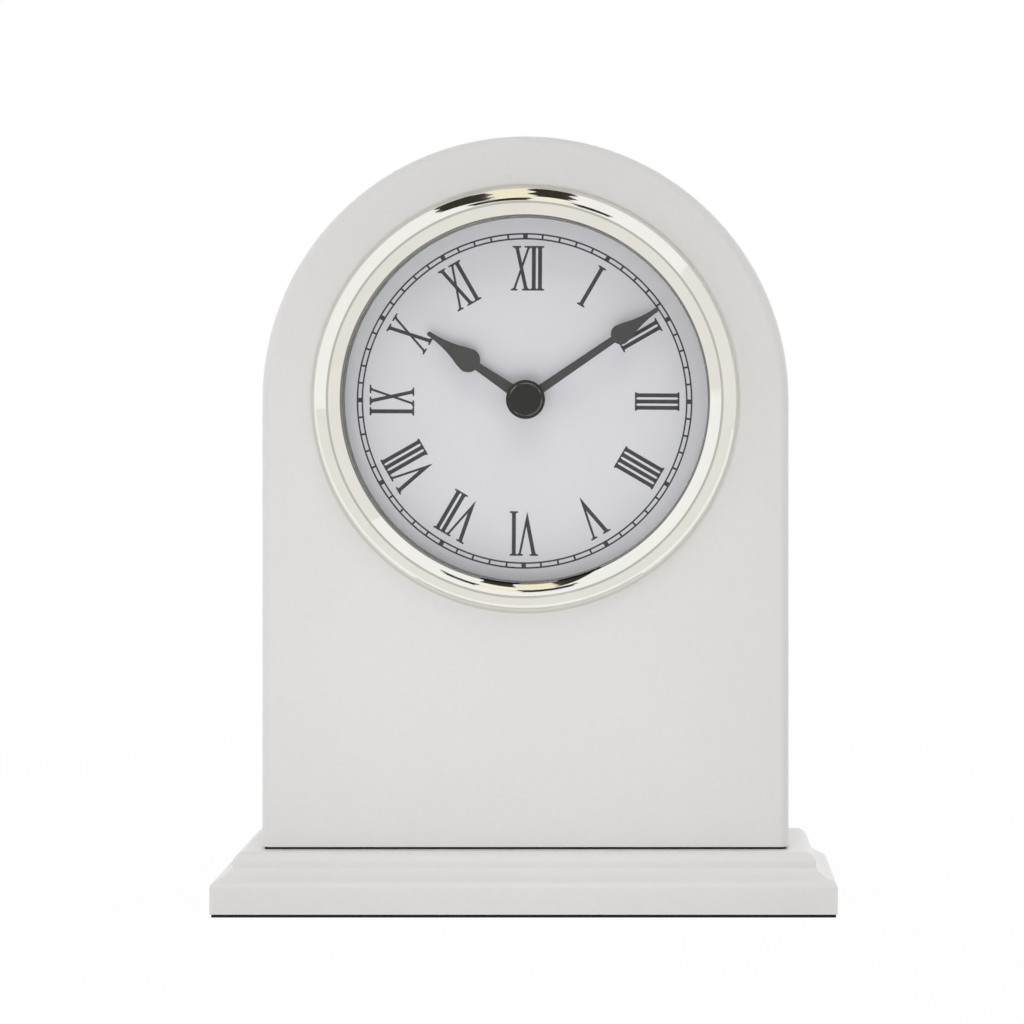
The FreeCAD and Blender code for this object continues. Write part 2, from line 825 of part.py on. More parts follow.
train_places = [third_place, second_place, intermediate_place, rotor_place]
centre_wheel_level = train_base + centre_level
third_wheel_level = train_base + third_level
second_wheel_level = train_base + second_level
intermediate_wheel_level = train_base + intermediate_level
stator_front_level = train_base + stator_level
stator_back_level = stator_front_level + stator_thickness


def centre_wheel():
    """Centre wheel, which grips the minute arbor by friction and lets it slip for setting."""
    disc = toothed(centre_place, centre_teeth, centre_module, centre_phase,
                   span(centre_wheel_level, train_wheel_thickness, 0), wheel_shares)
    hub = movement_drum(centre_place, centre_hub_radius,
                        (centre_wheel_level, centre_wheel_level + centre_hub_length))
    bore = movement_drum(centre_place, centre_arbor_radius + running_play,
                         span(centre_wheel_level, centre_hub_length, overrun))
    return joined([disc, hub]).cut(bore)


def train_wheel(place, wheel, pinion):
    """Wheel and pinion on one arbor."""
    wheel_teeth, wheel_phase, wheel_level = wheel
    pinion_teeth, pinion_module, pinion_phase, pinion_level = pinion
    disc = toothed(place, wheel_teeth, train_module, wheel_phase,
                   span(wheel_level, train_wheel_thickness, 0), wheel_shares)
    leaves = toothed(place, pinion_teeth, pinion_module, pinion_phase,
                     span(pinion_level, train_wheel_thickness, end_play), pinion_shares)
    return joined([disc, leaves] + spindle(place))


def rotor_pinion():
    """Motor's arbor with its pinion."""
    leaves = toothed(rotor_place, rotor_teeth, train_module, rotor_phase,
                     span(intermediate_wheel_level, train_wheel_thickness, end_play), pinion_shares)
    return joined([leaves] + spindle(rotor_place))


def rotor_magnet():
    """Ring magnet on the motor's arbor, level with the stator."""
    middle = (stator_front_level + stator_back_level) / 2
    levels = (middle - magnet_length / 2, middle + magnet_length / 2)
    return movement_drum(rotor_place, magnet_radius, levels).cut(
        movement_drum(rotor_place, spindle_radius, levels))


def minute_arbor():
    """Arbor through the hour pipe, with the cannon pinion and the seat of the centre wheel."""
    front = drum(centre_place, minute_arbor_radius, minute_hand_front_y,
                 movement_y + motion_wheel_level - end_play)
    tip = drum(centre_place, arbor_tip_radius, minute_hand_front_y - arbor_tip_length,
               minute_hand_front_y)
    leaves = toothed(centre_place, cannon_teeth, cannon_module, cannon_phase,
                     span(motion_wheel_level, motion_wheel_thickness, end_play), pinion_shares)
    rear = movement_drum(centre_place, centre_arbor_radius,
                         (motion_wheel_level, back_floor_level - end_play))
    pivot = movement_drum(centre_place, pivot_radius,
                          (back_floor_level - end_play, back_floor_level + pivot_length))
    return joined([front, tip, leaves, rear, pivot])


def hour_wheel():
    """Hour wheel and the pipe that carries the hour hand."""
    disc = toothed(centre_place, hour_teeth, hour_module, hour_phase,
                   span(hour_wheel_level, motion_wheel_thickness, 0), wheel_shares)
    pipe = drum(centre_place, hour_pipe_radius, hour_pipe_front_y, movement_y + hour_wheel_level)
    bore = drum(centre_place, minute_arbor_radius + running_play, hour_pipe_front_y - overrun,
                movement_y + hour_wheel_level + motion_wheel_thickness + overrun)
    return joined([disc, pipe]).cut(bore)


def motion_wheel():
    """Wheel between the cannon pinion and the hour wheel, on a post of the front shell."""
    disc = toothed(motion_place, motion_teeth, cannon_module, motion_phase,
                   span(motion_wheel_level, motion_wheel_thickness, 0), wheel_shares)
    leaves = toothed(motion_place, motion_pinion_teeth, hour_module, motion_pinion_phase,
                     (hour_wheel_level, motion_wheel_level), pinion_shares)
    bore = movement_drum(motion_place, motion_post_radius + running_play,
                         (shell_wall, mid_plate_level))
    return joined([disc, leaves]).cut(bore)


def setting_knob():
    """Knob behind the movement, on a shaft whose pinion turns the motion wheel."""
    leaves = toothed(knob_place, knob_teeth, cannon_module, knob_phase,
                     span(motion_wheel_level, motion_wheel_thickness, end_play), pinion_shares)
    shaft = movement_drum(knob_place, knob_shaft_radius,
                          (motion_wheel_level, movement_depth + knob_gap))
    pivot = movement_drum(knob_place, pivot_radius,
                          (shell_wall - pivot_length, motion_wheel_level))
    points = []
    for turn in range(knob_flutes * 2):
        radius = knob_radius - knob_flute_depth * (turn % 2)
        across, up = step_from(knob_place, radius, turn * 180 / knob_flutes)
        points.append(V(across, movement_y + movement_depth + knob_gap, axis_z + up))
    head = pushed(polygon(points), knob_height)
    return joined([leaves, shaft, pivot, head])


# Movement case

def rounded_block(depth):
    """Block with the movement's rounded outline, from its front face back to a depth."""
    block = movement_brick((-outer_half_width, outer_half_width), (0, depth), (case_foot, case_top))
    edges = [edge for edge in block.Edges if abs(edge.BoundBox.YLength - depth) < running_play]
    return block.makeFillet(shell_corner, edges)


pillar_places = [(side * (inner_half_width - pillar_inset), up)
                 for side in (-1, 1)
                 for up in (divider_top + pillar_inset, inner_top - pillar_inset)]
strip_level = centre_wheel_level - train_wheel_thickness
strip_levels = (strip_level, strip_level + contact_strip_width)
wall_contact = inner_half_width - contact_thickness


def cell_saddle(across):
    """Rib of the cell bay, hollowed to carry the cell."""
    half = saddle_thickness / 2
    rib = movement_brick((across - half, across + half), (shell_wall, shell_wall + saddle_rise),
                         (bay_floor, bay_top))
    start = V(across - saddle_thickness, movement_y + cell_axis_back, axis_z + cell_axis_up)
    hollow = Part.makeCylinder(cell_radius + cell_seat_gap, saddle_thickness + saddle_thickness,
                               start, V(1, 0, 0))
    return rib.cut(hollow)


def movement_front_shell():
    """Front half of the movement's case: bushing, posts, and the bay of the cell."""
    block = rounded_block(cell_bay_wall_height)
    above_bay = movement_brick((-outer_half_width - overrun, outer_half_width + overrun),
                               (shell_split, cell_bay_wall_height + overrun),
                               (bay_top, case_top + overrun))
    works = movement_brick((-inner_half_width, inner_half_width),
                           (shell_wall, cell_bay_wall_height + overrun), (divider_top, inner_top))
    bay = movement_brick((-inner_half_width, inner_half_width),
                         (shell_wall, cell_bay_wall_height + overrun), (bay_floor, bay_top))
    shell = cut_all(block, [above_bay, works, bay])
    bushing = drum(centre_place, bushing_radius, bushing_front_y, movement_y + shell_wall)
    post = movement_drum(motion_place, motion_post_radius,
                         (shell_wall, motion_wheel_level + motion_wheel_thickness + end_play))
    pillars = [movement_drum(place, pillar_radius, (shell_wall, mid_plate_level))
               for place in pillar_places]
    saddles = [cell_saddle(side * saddle_half_span) for side in (-1, 1)]
    body = joined([shell, bushing, post] + pillars + saddles)
    bore = drum(centre_place, hour_pipe_radius + running_play, bushing_front_y - overrun,
                movement_y + shell_wall + overrun)
    knob_seat = movement_drum(knob_place, pivot_radius + running_play,
                              (shell_wall - pivot_length, shell_wall + overrun))
    notches = [movement_brick((side * inner_half_width - contact_thickness,
                               side * inner_half_width + contact_thickness),
                              strip_levels, (bay_top - overrun, divider_top + overrun))
               for side in (-1, 1)]
    slots = [notch.common(works.fuse(movement_brick((-inner_half_width, inner_half_width),
                                                    strip_levels, (bay_top, divider_top))))
             for notch in notches]
    return cut_all(body, [bore, knob_seat] + slots)


def movement_back_shell():
    """Back half of the movement's case, with pivot holes for the train."""
    block = rounded_block(movement_depth)
    across = (-outer_half_width - overrun, outer_half_width + overrun)
    front = movement_brick(across, (-overrun, shell_split),
                           (case_foot - overrun, case_top + overrun))
    below = movement_brick(across, (-overrun, movement_depth + overrun),
                           (case_foot - overrun, bay_top))
    inside = movement_brick((-inner_half_width, inner_half_width), (-overrun, back_floor_level),
                            (divider_top, inner_top))
    holes = pivot_holes(train_places + [centre_place],
                        (back_floor_level - overrun, back_floor_level + pivot_length))
    knob_hole = movement_drum(knob_place, knob_shaft_radius + running_play,
                              (back_floor_level - overrun, movement_depth + overrun))
    return cut_all(block, [front, below, inside, knob_hole] + holes)


board_left = -inner_half_width + contact_thickness
board_right = knob_place[0] + knob_shaft_radius + board_hole_play + board_knob_margin
board_bottom = divider_top + contact_thickness
board_level = train_base + board_pillar_height
board_pillar_places = [(board_left + board_edge, board_top - board_edge),
                       (board_right - board_edge, board_top - board_edge),
                       (board_left + board_edge, board_bottom + board_edge)]
stator_lug_centres = [(stator_column, -stator_bottom + stator_lug_height / 2),
                      (stator_column, stator_top - stator_lug_height / 2)]


def movement_mid_plate():
    """Plate between the motion work and the train, with posts for the board and the stator."""
    plate = movement_brick((-inner_half_width + plate_play, inner_half_width - plate_play),
                           (mid_plate_level, train_base),
                           (divider_top + plate_play, inner_top - plate_play))
    board_posts = [movement_drum(place, board_pillar_radius, (train_base, board_level))
                   for place in board_pillar_places]
    stator_posts = [movement_drum(place, pillar_radius, (train_base, stator_front_level))
                    for place in stator_lug_centres]
    body = joined([plate] + board_posts + stator_posts)
    levels = (mid_plate_level - overrun, train_base + overrun)
    holes = pivot_holes(train_places, levels)
    holes.append(movement_drum(centre_place, centre_arbor_radius + running_play, levels))
    holes.append(movement_drum(knob_place, knob_shaft_radius + running_play, levels))
    return cut_all(body, holes)


# Motor and electronics

def stator():
    """Flat iron of the motor, with a round eye for the magnet and two lugs for the core."""
    levels = (stator_front_level, stator_back_level)
    strip = movement_brick((stator_column - stator_half_width, stator_column + stator_half_width),
                           levels, (-stator_bottom, stator_top))
    eye_radius = magnet_radius + magnet_gap
    eye = movement_drum(rotor_place, eye_radius + stator_ring_width, levels)
    lug_end = core_across + core_width / 2
    lugs = [movement_brick((stator_column, lug_end), levels, up)
            for up in ((-stator_bottom, -stator_bottom + stator_lug_height),
                       (stator_top - stator_lug_height, stator_top))]
    hole = movement_drum(rotor_place, eye_radius, levels)
    return joined([strip, eye] + lugs).cut(hole)


core_levels = (stator_back_level, stator_back_level + core_thickness)
coil_axis_level = (core_levels[0] + core_levels[1]) / 2
bobbin_bottom = -stator_bottom + stator_lug_height + flange_gap
bobbin_top = stator_top - stator_lug_height - flange_gap


def coil_drum(radius, bottom, top):
    """Upright round bar about the coil's axis."""
    start = V(core_across, movement_y + coil_axis_level, axis_z + bottom)
    return Part.makeCylinder(radius, top - bottom, start, V(0, 0, 1))


def coil_core():
    """Iron strip through the coil, lying on the stator's lugs."""
    return movement_brick((core_across - core_width / 2, core_across + core_width / 2),
                          core_levels, (-stator_bottom, stator_top))


def coil_bobbin():
    """Spool of the coil."""
    barrel = coil_drum(bobbin_radius, bobbin_bottom, bobbin_top)
    lower = coil_drum(flange_radius, bobbin_bottom, bobbin_bottom + flange_thickness)
    upper = coil_drum(flange_radius, bobbin_top - flange_thickness, bobbin_top)
    return joined([barrel, lower, upper]).cut(coil_core())


def coil_winding():
    """Copper winding between the flanges."""
    bottom = bobbin_bottom + flange_thickness
    top = bobbin_top - flange_thickness
    return coil_drum(winding_radius, bottom, top).cut(coil_drum(bobbin_radius, bottom, top))


board_levels = (board_level, board_level + board_thickness)


def circuit_board():
    """Board beside the train, with room for the knob's shaft."""
    board = movement_brick((board_left, board_right), board_levels, (board_bottom, board_top))
    return board.cut(movement_drum(knob_place, knob_shaft_radius + board_hole_play, board_levels))


def chip():
    """Round covered chip on the board."""
    place = (board_right - chip_across, chip_rise)
    start = V(place[0], movement_y + board_levels[1], axis_z + place[1])
    return Part.makeCone(chip_radius, chip_radius / 2, chip_height, start, V(0, 1, 0))


def quartz_crystal():
    """Small can of the crystal, lying on the board."""
    start = V(board_right - crystal_across, movement_y + board_levels[1] + crystal_radius,
              axis_z + crystal_rise)
    return Part.makeCylinder(crystal_radius, crystal_length, start, V(0, 0, 1))


def cell_contact(side):
    """Spring contact at one end of the cell, with a strip up to the board."""
    wall = side * inner_half_width
    face = side * wall_contact
    low, high = sorted((wall, face))
    plate = movement_brick((low, high),
                           (cell_axis_back - contact_depth / 2, cell_axis_back + contact_depth / 2),
                           (cell_axis_up - contact_height / 2, cell_axis_up + contact_height / 2))
    reach = side * (cell_length / 2 + cell_seat_gap)
    start_across, end_across = sorted((reach, face))
    start = V(start_across, movement_y + cell_axis_back, axis_z + cell_axis_up)
    dimple = Part.makeCylinder(contact_dimple, end_across - start_across, start, V(1, 0, 0))
    rise = movement_brick((low, high), strip_levels, (cell_axis_up, divider_top + contact_tail))
    return [plate, dimple, rise]


def negative_contact():
    """Contact at the left, whose tail meets the board's edge."""
    return joined(cell_contact(-1))


def positive_contact():
    """Contact at the right, with a strip along the bay's wall to the board."""
    strip = movement_brick((board_left, inner_half_width), strip_levels,
                           (divider_top, divider_top + contact_thickness))
    return joined(cell_contact(1) + [strip])


def battery_cell():
    """Cell in its bay, with its raised terminal at the right."""
    start = V(-cell_length / 2, movement_y + cell_axis_back, axis_z + cell_axis_up)
    can_length = cell_length - cell_nub_length
    can = Part.makeCylinder(cell_radius, can_length, start, V(1, 0, 0))
    can = can.makeChamfer(cell_edge_chamfer, [edge for edge in can.Edges if len(edge.Vertexes) == 1])
    nub_start = start.add(V(can_length, 0, 0))
    nub = Part.makeCylinder(cell_nub_radius, cell_nub_length, nub_start, V(1, 0, 0))
    return joined([can, nub])


# Write every piece

os.makedirs("parts", exist_ok=True)

third_wheel = train_wheel(third_place, (third_teeth, third_phase, third_wheel_level),
                          (third_pinion_teeth, centre_module, third_pinion_phase,
                           centre_wheel_level))
second_wheel = train_wheel(second_place, (second_teeth, second_phase, second_wheel_level),
                           (second_pinion_teeth, train_module, second_pinion_phase,
                            third_wheel_level))
intermediate_wheel = train_wheel(intermediate_place,
                                 (intermediate_teeth, intermediate_phase,
                                  intermediate_wheel_level),
                                 (intermediate_pinion_teeth, train_module,
                                  intermediate_pinion_phase, second_wheel_level))

pieces = {
    "base_felt": base_felt(),
    "plinth": plinth(),
    "plinth_screws": plinth_screws,
    "seat_gasket": seat_gasket(),
    "case_front_panel": case_front_panel(),
    "case_arch_frame": case_arch_frame(),
    "case_back_panel": case_back_panel(),
    "back_panel_screws": panel_screws,
    "bezel": bezel(),
    "bezel_sleeve": bezel_sleeve(),
    "bezel_clips": bezel_clips(),
    "clip_screws": clip_screws,
    "glass": drum(centre_place, glass_radius, glass_front_y, glass_back_y),
    "dial_spacer_ring": tube(centre_place, glass_radius, throat_radius, glass_back_y, dial_front_y),
    "dial_plate": dial_plate(),
    "steel_washer": tube(centre_place, washer_radius, bushing_radius, washer_front_y, dial_front_y),
    "rubber_washer": tube(centre_place, rubber_radius, bushing_radius, dial_back_y, movement_y),
    "fixing_nut": fixing_nut(),
    "hour_hand": hour_hand(),
    "minute_hand": minute_hand(),
    "hand_cap": hand_cap(),
    "minute_arbor": minute_arbor(),
    "hour_wheel": hour_wheel(),
    "motion_wheel": motion_wheel(),
    "setting_knob": setting_knob(),
    "centre_wheel": centre_wheel(),
    "third_wheel": third_wheel,
    "second_wheel": second_wheel,
    "intermediate_wheel": intermediate_wheel,
    "rotor_pinion": rotor_pinion(),
    "rotor_magnet": rotor_magnet(),
    "movement_front_shell": movement_front_shell(),
    "movement_back_shell": movement_back_shell(),
    "movement_mid_plate": movement_mid_plate(),
    "stator": stator(),
    "coil_core": coil_core(),
    "coil_bobbin": coil_bobbin(),
    "coil_winding": coil_winding(),
    "circuit_board": circuit_board(),
    "chip": chip(),
    "quartz_crystal": quartz_crystal(),
    "positive_contact": positive_contact(),
    "negative_contact": negative_contact(),
    "battery_cell": battery_cell(),
}

for name, shape in pieces.items():
    save(name, shape)
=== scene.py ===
import logging
import math
from dataclasses import dataclass, field, replace
from enum import Enum
from typing import Any, Mapping, Optional, Sequence, Union

import bpy
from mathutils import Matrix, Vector
from mathutils.geometry import delaunay_2d_cdt


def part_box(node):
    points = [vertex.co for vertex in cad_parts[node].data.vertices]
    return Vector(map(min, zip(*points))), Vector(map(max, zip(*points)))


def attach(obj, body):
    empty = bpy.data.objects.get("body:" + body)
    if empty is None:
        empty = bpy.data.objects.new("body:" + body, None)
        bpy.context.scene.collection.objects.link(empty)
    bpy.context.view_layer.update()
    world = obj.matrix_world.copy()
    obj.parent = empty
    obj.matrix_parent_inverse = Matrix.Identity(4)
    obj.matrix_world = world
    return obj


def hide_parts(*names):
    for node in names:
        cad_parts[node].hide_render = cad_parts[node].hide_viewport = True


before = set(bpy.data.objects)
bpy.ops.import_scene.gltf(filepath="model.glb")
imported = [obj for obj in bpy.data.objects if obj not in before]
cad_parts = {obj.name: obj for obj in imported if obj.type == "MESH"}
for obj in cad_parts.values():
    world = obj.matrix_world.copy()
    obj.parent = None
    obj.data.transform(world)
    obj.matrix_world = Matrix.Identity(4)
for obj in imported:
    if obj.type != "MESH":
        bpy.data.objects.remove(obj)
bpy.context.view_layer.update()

# An arch-topped mantel clock, dressed for a studio picture: painted case, nickel bezel, glass,
# printed dial, hands, and the battery movement behind them.
# Metres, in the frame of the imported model: +Z is up and the dial faces -Y.

MM = 0.001

Colour = tuple[float, float, float]
Place = tuple[float, float, float]
Point = tuple[float, float]
Span = tuple[float, float]
Outline = list[Point]

WHITE = (1.0, 1.0, 1.0)
BLACK = (0.0, 0.0, 0.0)

log = logging.getLogger("clock")


def linear(level: int) -> float:
    """Turn one channel's level as a screen shows it, from 0 to 255, into linear light."""
    share = level / 255
    return share / 12.92 if share <= 0.04045 else ((share + 0.055) / 1.055) ** 2.4


def shade(red: int, green: int, blue: int) -> Colour:
    """Give the linear light of a colour as a screen shows it."""
    return (linear(red), linear(green), linear(blue))


def tinted(colour: Colour, amount: float) -> Colour:
    """Give a colour made lighter or darker by a factor."""
    return (colour[0] * amount, colour[1] * amount, colour[2] * amount)


def anticlockwise(outline: Outline) -> Outline:
    """Give an outline's points in anticlockwise order."""
    pairs = zip(outline, outline[1:] + outline[:1])
    area = sum(first[0] * second[1] - second[0] * first[1] for first, second in pairs)
    return outline if area > 0 else outline[::-1]


class Axis(Enum):
    """An axis of the clock's frame."""

    X = 0
    Y = 1
    Z = 2


@dataclass(frozen=True)
class Grain:
    """A noise pattern, and what it does to the finish that it lies in.

    Width is that of its lumps, detail counts the finer octaves over them, and rough is how strong
    these are. Stretch multiplies the coordinates. Span is where the pattern turns from the first
    of the two tints to the second, and share is how much of the tone it has. Dulling is the
    roughness that it adds, over dull_span if that is given. Height and strength are its bump's.
    """

    width: float
    detail: float = 3.0
    rough: float = 0.5
    stretch: Optional[Place] = None
    span: Span = (0.0, 1.0)
    tints: Span = (1.0, 1.0)
    share: float = 0.0
    dulling: float = 0.0
    dull_span: Optional[Span] = None
    height: float = 0.0
    strength: float = 1.0


class Signal:
    """One output of a shader node. Python's operators on it add Math nodes."""

    def __init__(self, shader: "Shader", socket: bpy.types.NodeSocket) -> None:
        """Keep the shader and the output socket."""
        self.shader = shader
        self.socket = socket

    def math(self, operation: str, *others: "Value", first: Optional["Value"] = None) -> "Signal":
        """Add a Math node for this signal and others, or for a first value and this signal."""
        values = [self, *others] if first is None else [first, self]
        return self.shader.add("ShaderNodeMath", {"operation": operation}, dict(enumerate(values)))

    def __add__(self, other: "Value") -> "Signal":
        """Add a value."""
        return self.math("ADD", other)

    def __radd__(self, other: "Value") -> "Signal":
        """Add to a value."""
        return self.math("ADD", first=other)

    def __sub__(self, other: "Value") -> "Signal":
        """Take a value away."""
        return self.math("SUBTRACT", other)

    def __rsub__(self, other: "Value") -> "Signal":
        """Take this away from a value."""
        return self.math("SUBTRACT", first=other)

    def __mul__(self, other: "Value") -> "Signal":
        """Multiply by a value."""
        return self.math("MULTIPLY", other)

    def __rmul__(self, other: "Value") -> "Signal":
        """Multiply a value by this."""
        return self.math("MULTIPLY", first=other)

    def __gt__(self, other: "Value") -> "Signal":
        """Give 1 where this is more than a value, else 0."""
        return self.math("GREATER_THAN", other)

    def __lt__(self, other: "Value") -> "Signal":
        """Give 1 where this is less than a value, else 0."""
        return self.math("LESS_THAN", other)

    def ramp(self, low: float, high: float) -> "Signal":
        """Rise smoothly from 0 to 1 as this goes from low to high."""
        settings = {"interpolation_type": "SMOOTHSTEP"}
        return self.shader.add("ShaderNodeMapRange", settings,
                               {"Value": self, "From Min": low, "From Max": high})


Value = Union[Signal, float]


class Shader:
    """A node tree that is filled one node at a time."""

    def __init__(self, tree: bpy.types.NodeTree) -> None:
        """Empty the tree and keep it."""
        self.tree = tree
        tree.nodes.clear()

    def add(self, kind: str, settings: Optional[Mapping[str, Any]] = None,
            sockets: Optional[Mapping[Union[int, str], Any]] = None,
            output: Union[int, str] = 0) -> Optional[Signal]:
        """Add a node: its settings first, then the values or links of its sockets.

        Args:
            kind: Blender's name for the type of node.
            settings: Attributes of the node.
            sockets: Values or signals for the inputs, by number or name.
            output: Number or name of the output wanted.

        Returns:
            That output, or None from a node that has no outputs.
        """
        node = self.tree.nodes.new(kind)
        for name, setting in (settings or {}).items():
            setattr(node, name, setting)
        for name, value in (sockets or {}).items():
            if isinstance(value, Signal):
                self.tree.links.new(value.socket, node.inputs[name])
            elif isinstance(value, tuple) and node.inputs[name].type == "RGBA":
                node.inputs[name].default_value = (*value, 1.0)
            else:
                node.inputs[name].default_value = value
        return Signal(self, node.outputs[output]) if node.outputs else None

    def place(self) -> Signal:
        """Give the point on the piece, in metres in the clock's frame."""
        return self.add("ShaderNodeTexCoord", output="Object")

    def axes(self, point: Signal) -> tuple[Signal, Signal, Signal]:
        """Give a point's three coordinates apart."""
        split = [self.add("ShaderNodeSeparateXYZ", None, {0: point}, axis) for axis in range(3)]
        return (split[0], split[1], split[2])

    def vector(self, x: Value, y: Value, z: Value) -> Signal:
        """Join three numbers to a vector."""
        return self.add("ShaderNodeCombineXYZ", None, {0: x, 1: y, 2: z})

    def from_line(self, point: Signal, height: float = 0.0, along: Axis = Axis.Y) -> Signal:
        """Give the distance from a line along an axis at a height, such as the hands' own."""
        factors = tuple(float(axis is not along) for axis in Axis)
        flat = self.add("ShaderNodeVectorMath", {"operation": "MULTIPLY_ADD"},
                        {0: point, 1: factors, 2: (0.0, 0.0, -height)})
        return self.add("ShaderNodeVectorMath", {"operation": "LENGTH"}, {0: flat}, "Value")

    def noise(self, point: Signal, grain: Grain) -> Signal:
        """Read a noise pattern at a point, as a number mostly between 0.3 and 0.7."""
        if grain.stretch is not None:
            point = self.add("ShaderNodeVectorMath", {"operation": "MULTIPLY"},
                             {0: point, 1: grain.stretch})
        return self.add("ShaderNodeTexNoise", None,
                        {"Vector": point, "Scale": 1 / grain.width, "Detail": grain.detail,
                         "Roughness": grain.rough})

    def mix(self, share: Value, first: Union[Signal, Colour],
            second: Union[Signal, Colour]) -> Signal:
        """Mix two colours: the first where the share is 0, the second where it is 1."""
        return self.add("ShaderNodeMix", {"data_type": "RGBA"}, {0: share, 6: first, 7: second}, 2)

    def tone(self, pattern: Signal, grain: Grain, colour: Colour) -> Signal:
        """Turn a colour from the first tint of a pattern's grain to the second."""
        first, second = (tinted(colour, tint) for tint in grain.tints)
        return self.mix(pattern.ramp(*grain.span), first, second)

    def fleck(self, pattern: Signal, grain: Grain, under: Signal, colour: Colour) -> Signal:
        """Lay flecks of a colour's second tint over another colour, by the grain's share."""
        share = pattern.ramp(*grain.span) * grain.share
        return self.mix(share, under, tinted(colour, grain.tints[1]))

    def bump(self, pattern: Signal, grain: Grain, under: Optional[Signal] = None) -> Signal:
        """Raise the surface by a pattern, as its grain says, over another bump if there is one."""
        below = {} if under is None else {"Normal": under}
        return self.add("ShaderNodeBump", None, {"Strength": grain.strength, "Height": pattern,
                                                 "Distance": grain.height, **below})

    def surface(self, **sockets: Any) -> Signal:
        """Add the usual surface shader, with underscores for the spaces in its sockets' names."""
        named = {name.replace("_", " "): value for name, value in sockets.items()}
        return self.add("ShaderNodeBsdfPrincipled", None, named)

    def coat(self, colour: Signal, pattern: Signal, grain: Grain, roughness: float,
             **sockets: Any) -> Signal:
        """Add the usual surface shader, dulled and raised by one pattern."""
        return self.surface(Base_Color=colour, Roughness=pattern * grain.dulling + roughness,
                            Normal=self.bump(pattern, grain), **sockets)

    def light(self, colour: Colour) -> Signal:
        """Add a shader that gives plain light."""
        return self.add("ShaderNodeEmission", None, {"Color": colour, "Strength": 1.0})

    def blend(self, share: Value, first: Signal, second: Signal) -> Signal:
        """Mix two shaders: the first where the share is 0, the second where it is 1."""
        return self.add("ShaderNodeMixShader", None, {0: share, 1: first, 2: second})

    def plain_rays(self) -> Signal:
        """Give 1 for the camera's rays and for those that come off a piece or through it."""
        rays = [self.add("ShaderNodeLightPath", output=f"Is {kind} Ray")
                for kind in ("Camera", "Glossy", "Transmission")]
        return (rays[0] + rays[1] + rays[2]).math("MINIMUM", 1.0)

    def finish(self, surface: Signal, world: bool = False) -> None:
        """Send a shader to the output."""
        kind = "ShaderNodeOutputWorld" if world else "ShaderNodeOutputMaterial"
        self.add(kind, None, {"Surface": surface})


def axis_height() -> float:
    """Give the height of the hands' axis, from the dial plate's box."""
    low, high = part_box("dial_plate")
    return (low.z + high.z) / 2


@dataclass(frozen=True)
class Finish:
    """A surface: what every finish has."""

    name: str

    def paint(self, shader: Shader, point: Signal) -> Signal:
        """Add the nodes, from the point on the piece, and give the shader."""
        raise NotImplementedError

    def material(self) -> bpy.types.Material:
        """Give the material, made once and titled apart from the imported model's."""
        title = f"{self.name}_finish"
        found = bpy.data.materials.get(title)
        if found is not None:
            return found
        made = bpy.data.materials.new(title)
        made.use_nodes = True
        shader = Shader(made.node_tree)
        shader.finish(self.paint(shader, shader.place()))
        return made


@dataclass(frozen=True)
class Grained(Finish):
    """One colour under noise patterns, which change its tone and sheen and raise its surface."""

    colour: Colour
    tone_span: Span
    tints: Span
    roughness: float
    metal: float = 0.0
    glow: float = 0.0
    glow_depth: float = 1 * MM
    patterns: tuple[Grain, ...] = ()

    def grains(self) -> tuple[Grain, ...]:
        """Give the patterns."""
        return self.patterns

    def paint(self, shader: Shader, point: Signal) -> Signal:
        """Add up what the patterns do."""
        tone, gloss, normal = 0.0, self.roughness, None
        for grain in self.grains():
            pattern = shader.noise(point, grain)
            if grain.share:
                tone = pattern * grain.share + tone
            if grain.dulling:
                dull = pattern.ramp(*grain.dull_span) if grain.dull_span else pattern
                gloss = dull * grain.dulling + gloss
            if grain.height:
                normal = shader.bump(pattern, grain, normal)
        first, second = (tinted(self.colour, tint) for tint in self.tints)
        colour = shader.mix(tone.ramp(*self.tone_span), first, second)
        return shader.surface(Base_Color=colour, Metallic=self.metal, Roughness=gloss,
                              Normal=normal, Subsurface_Weight=self.glow,
                              Subsurface_Scale=self.glow_depth)


ZINC = shade(196, 196, 190)
INK = Grained("dial_ink", shade(44, 44, 47), (0.4, 0.65), (1.0, 1.8), 0.35, patterns=(
    Grain(0.16 * MM, share=0.6, dulling=0.2, height=0.003 * MM),
    Grain(1.4 * MM, 2.0, share=0.4)))
LACQUER = Grained("hand_black", shade(58, 58, 58), (0.55, 0.75), (1.0, 1.7), 0.33, patterns=(
    Grain(1.8 * MM, 2.0, dulling=0.18, height=0.006 * MM, strength=0.5),
    Grain(0.12 * MM, 2.0, share=1.0, height=0.003 * MM, strength=0.7)))
RUBBER = Grained("black_rubber", shade(32, 32, 33), (0.45, 0.75), (1.0, 1.8), 0.65, patterns=(
    Grain(0.3 * MM, 4.0, dulling=0.2, height=0.02 * MM),
    Grain(3 * MM, 5.0, share=1.0)))


@dataclass(frozen=True)
class Moulded(Grained):
    """Moulded plastic, with its mould's tooth and the marks that its flow leaves."""

    tone_span: Span = (0.38, 0.62)
    tints: Span = (0.9, 1.1)
    roughness: float = 0.36
    tooth: float = 0.35 * MM
    tooth_height: float = 0.02 * MM

    def grains(self) -> tuple[Grain, ...]:
        """Give the flow and the tooth."""
        return (Grain(6 * MM, stretch=(1.0, 1.0, 0.25), share=0.7, dulling=0.16),
                Grain(self.tooth, 3.0, 0.6, share=0.3, dulling=0.12, height=self.tooth_height))


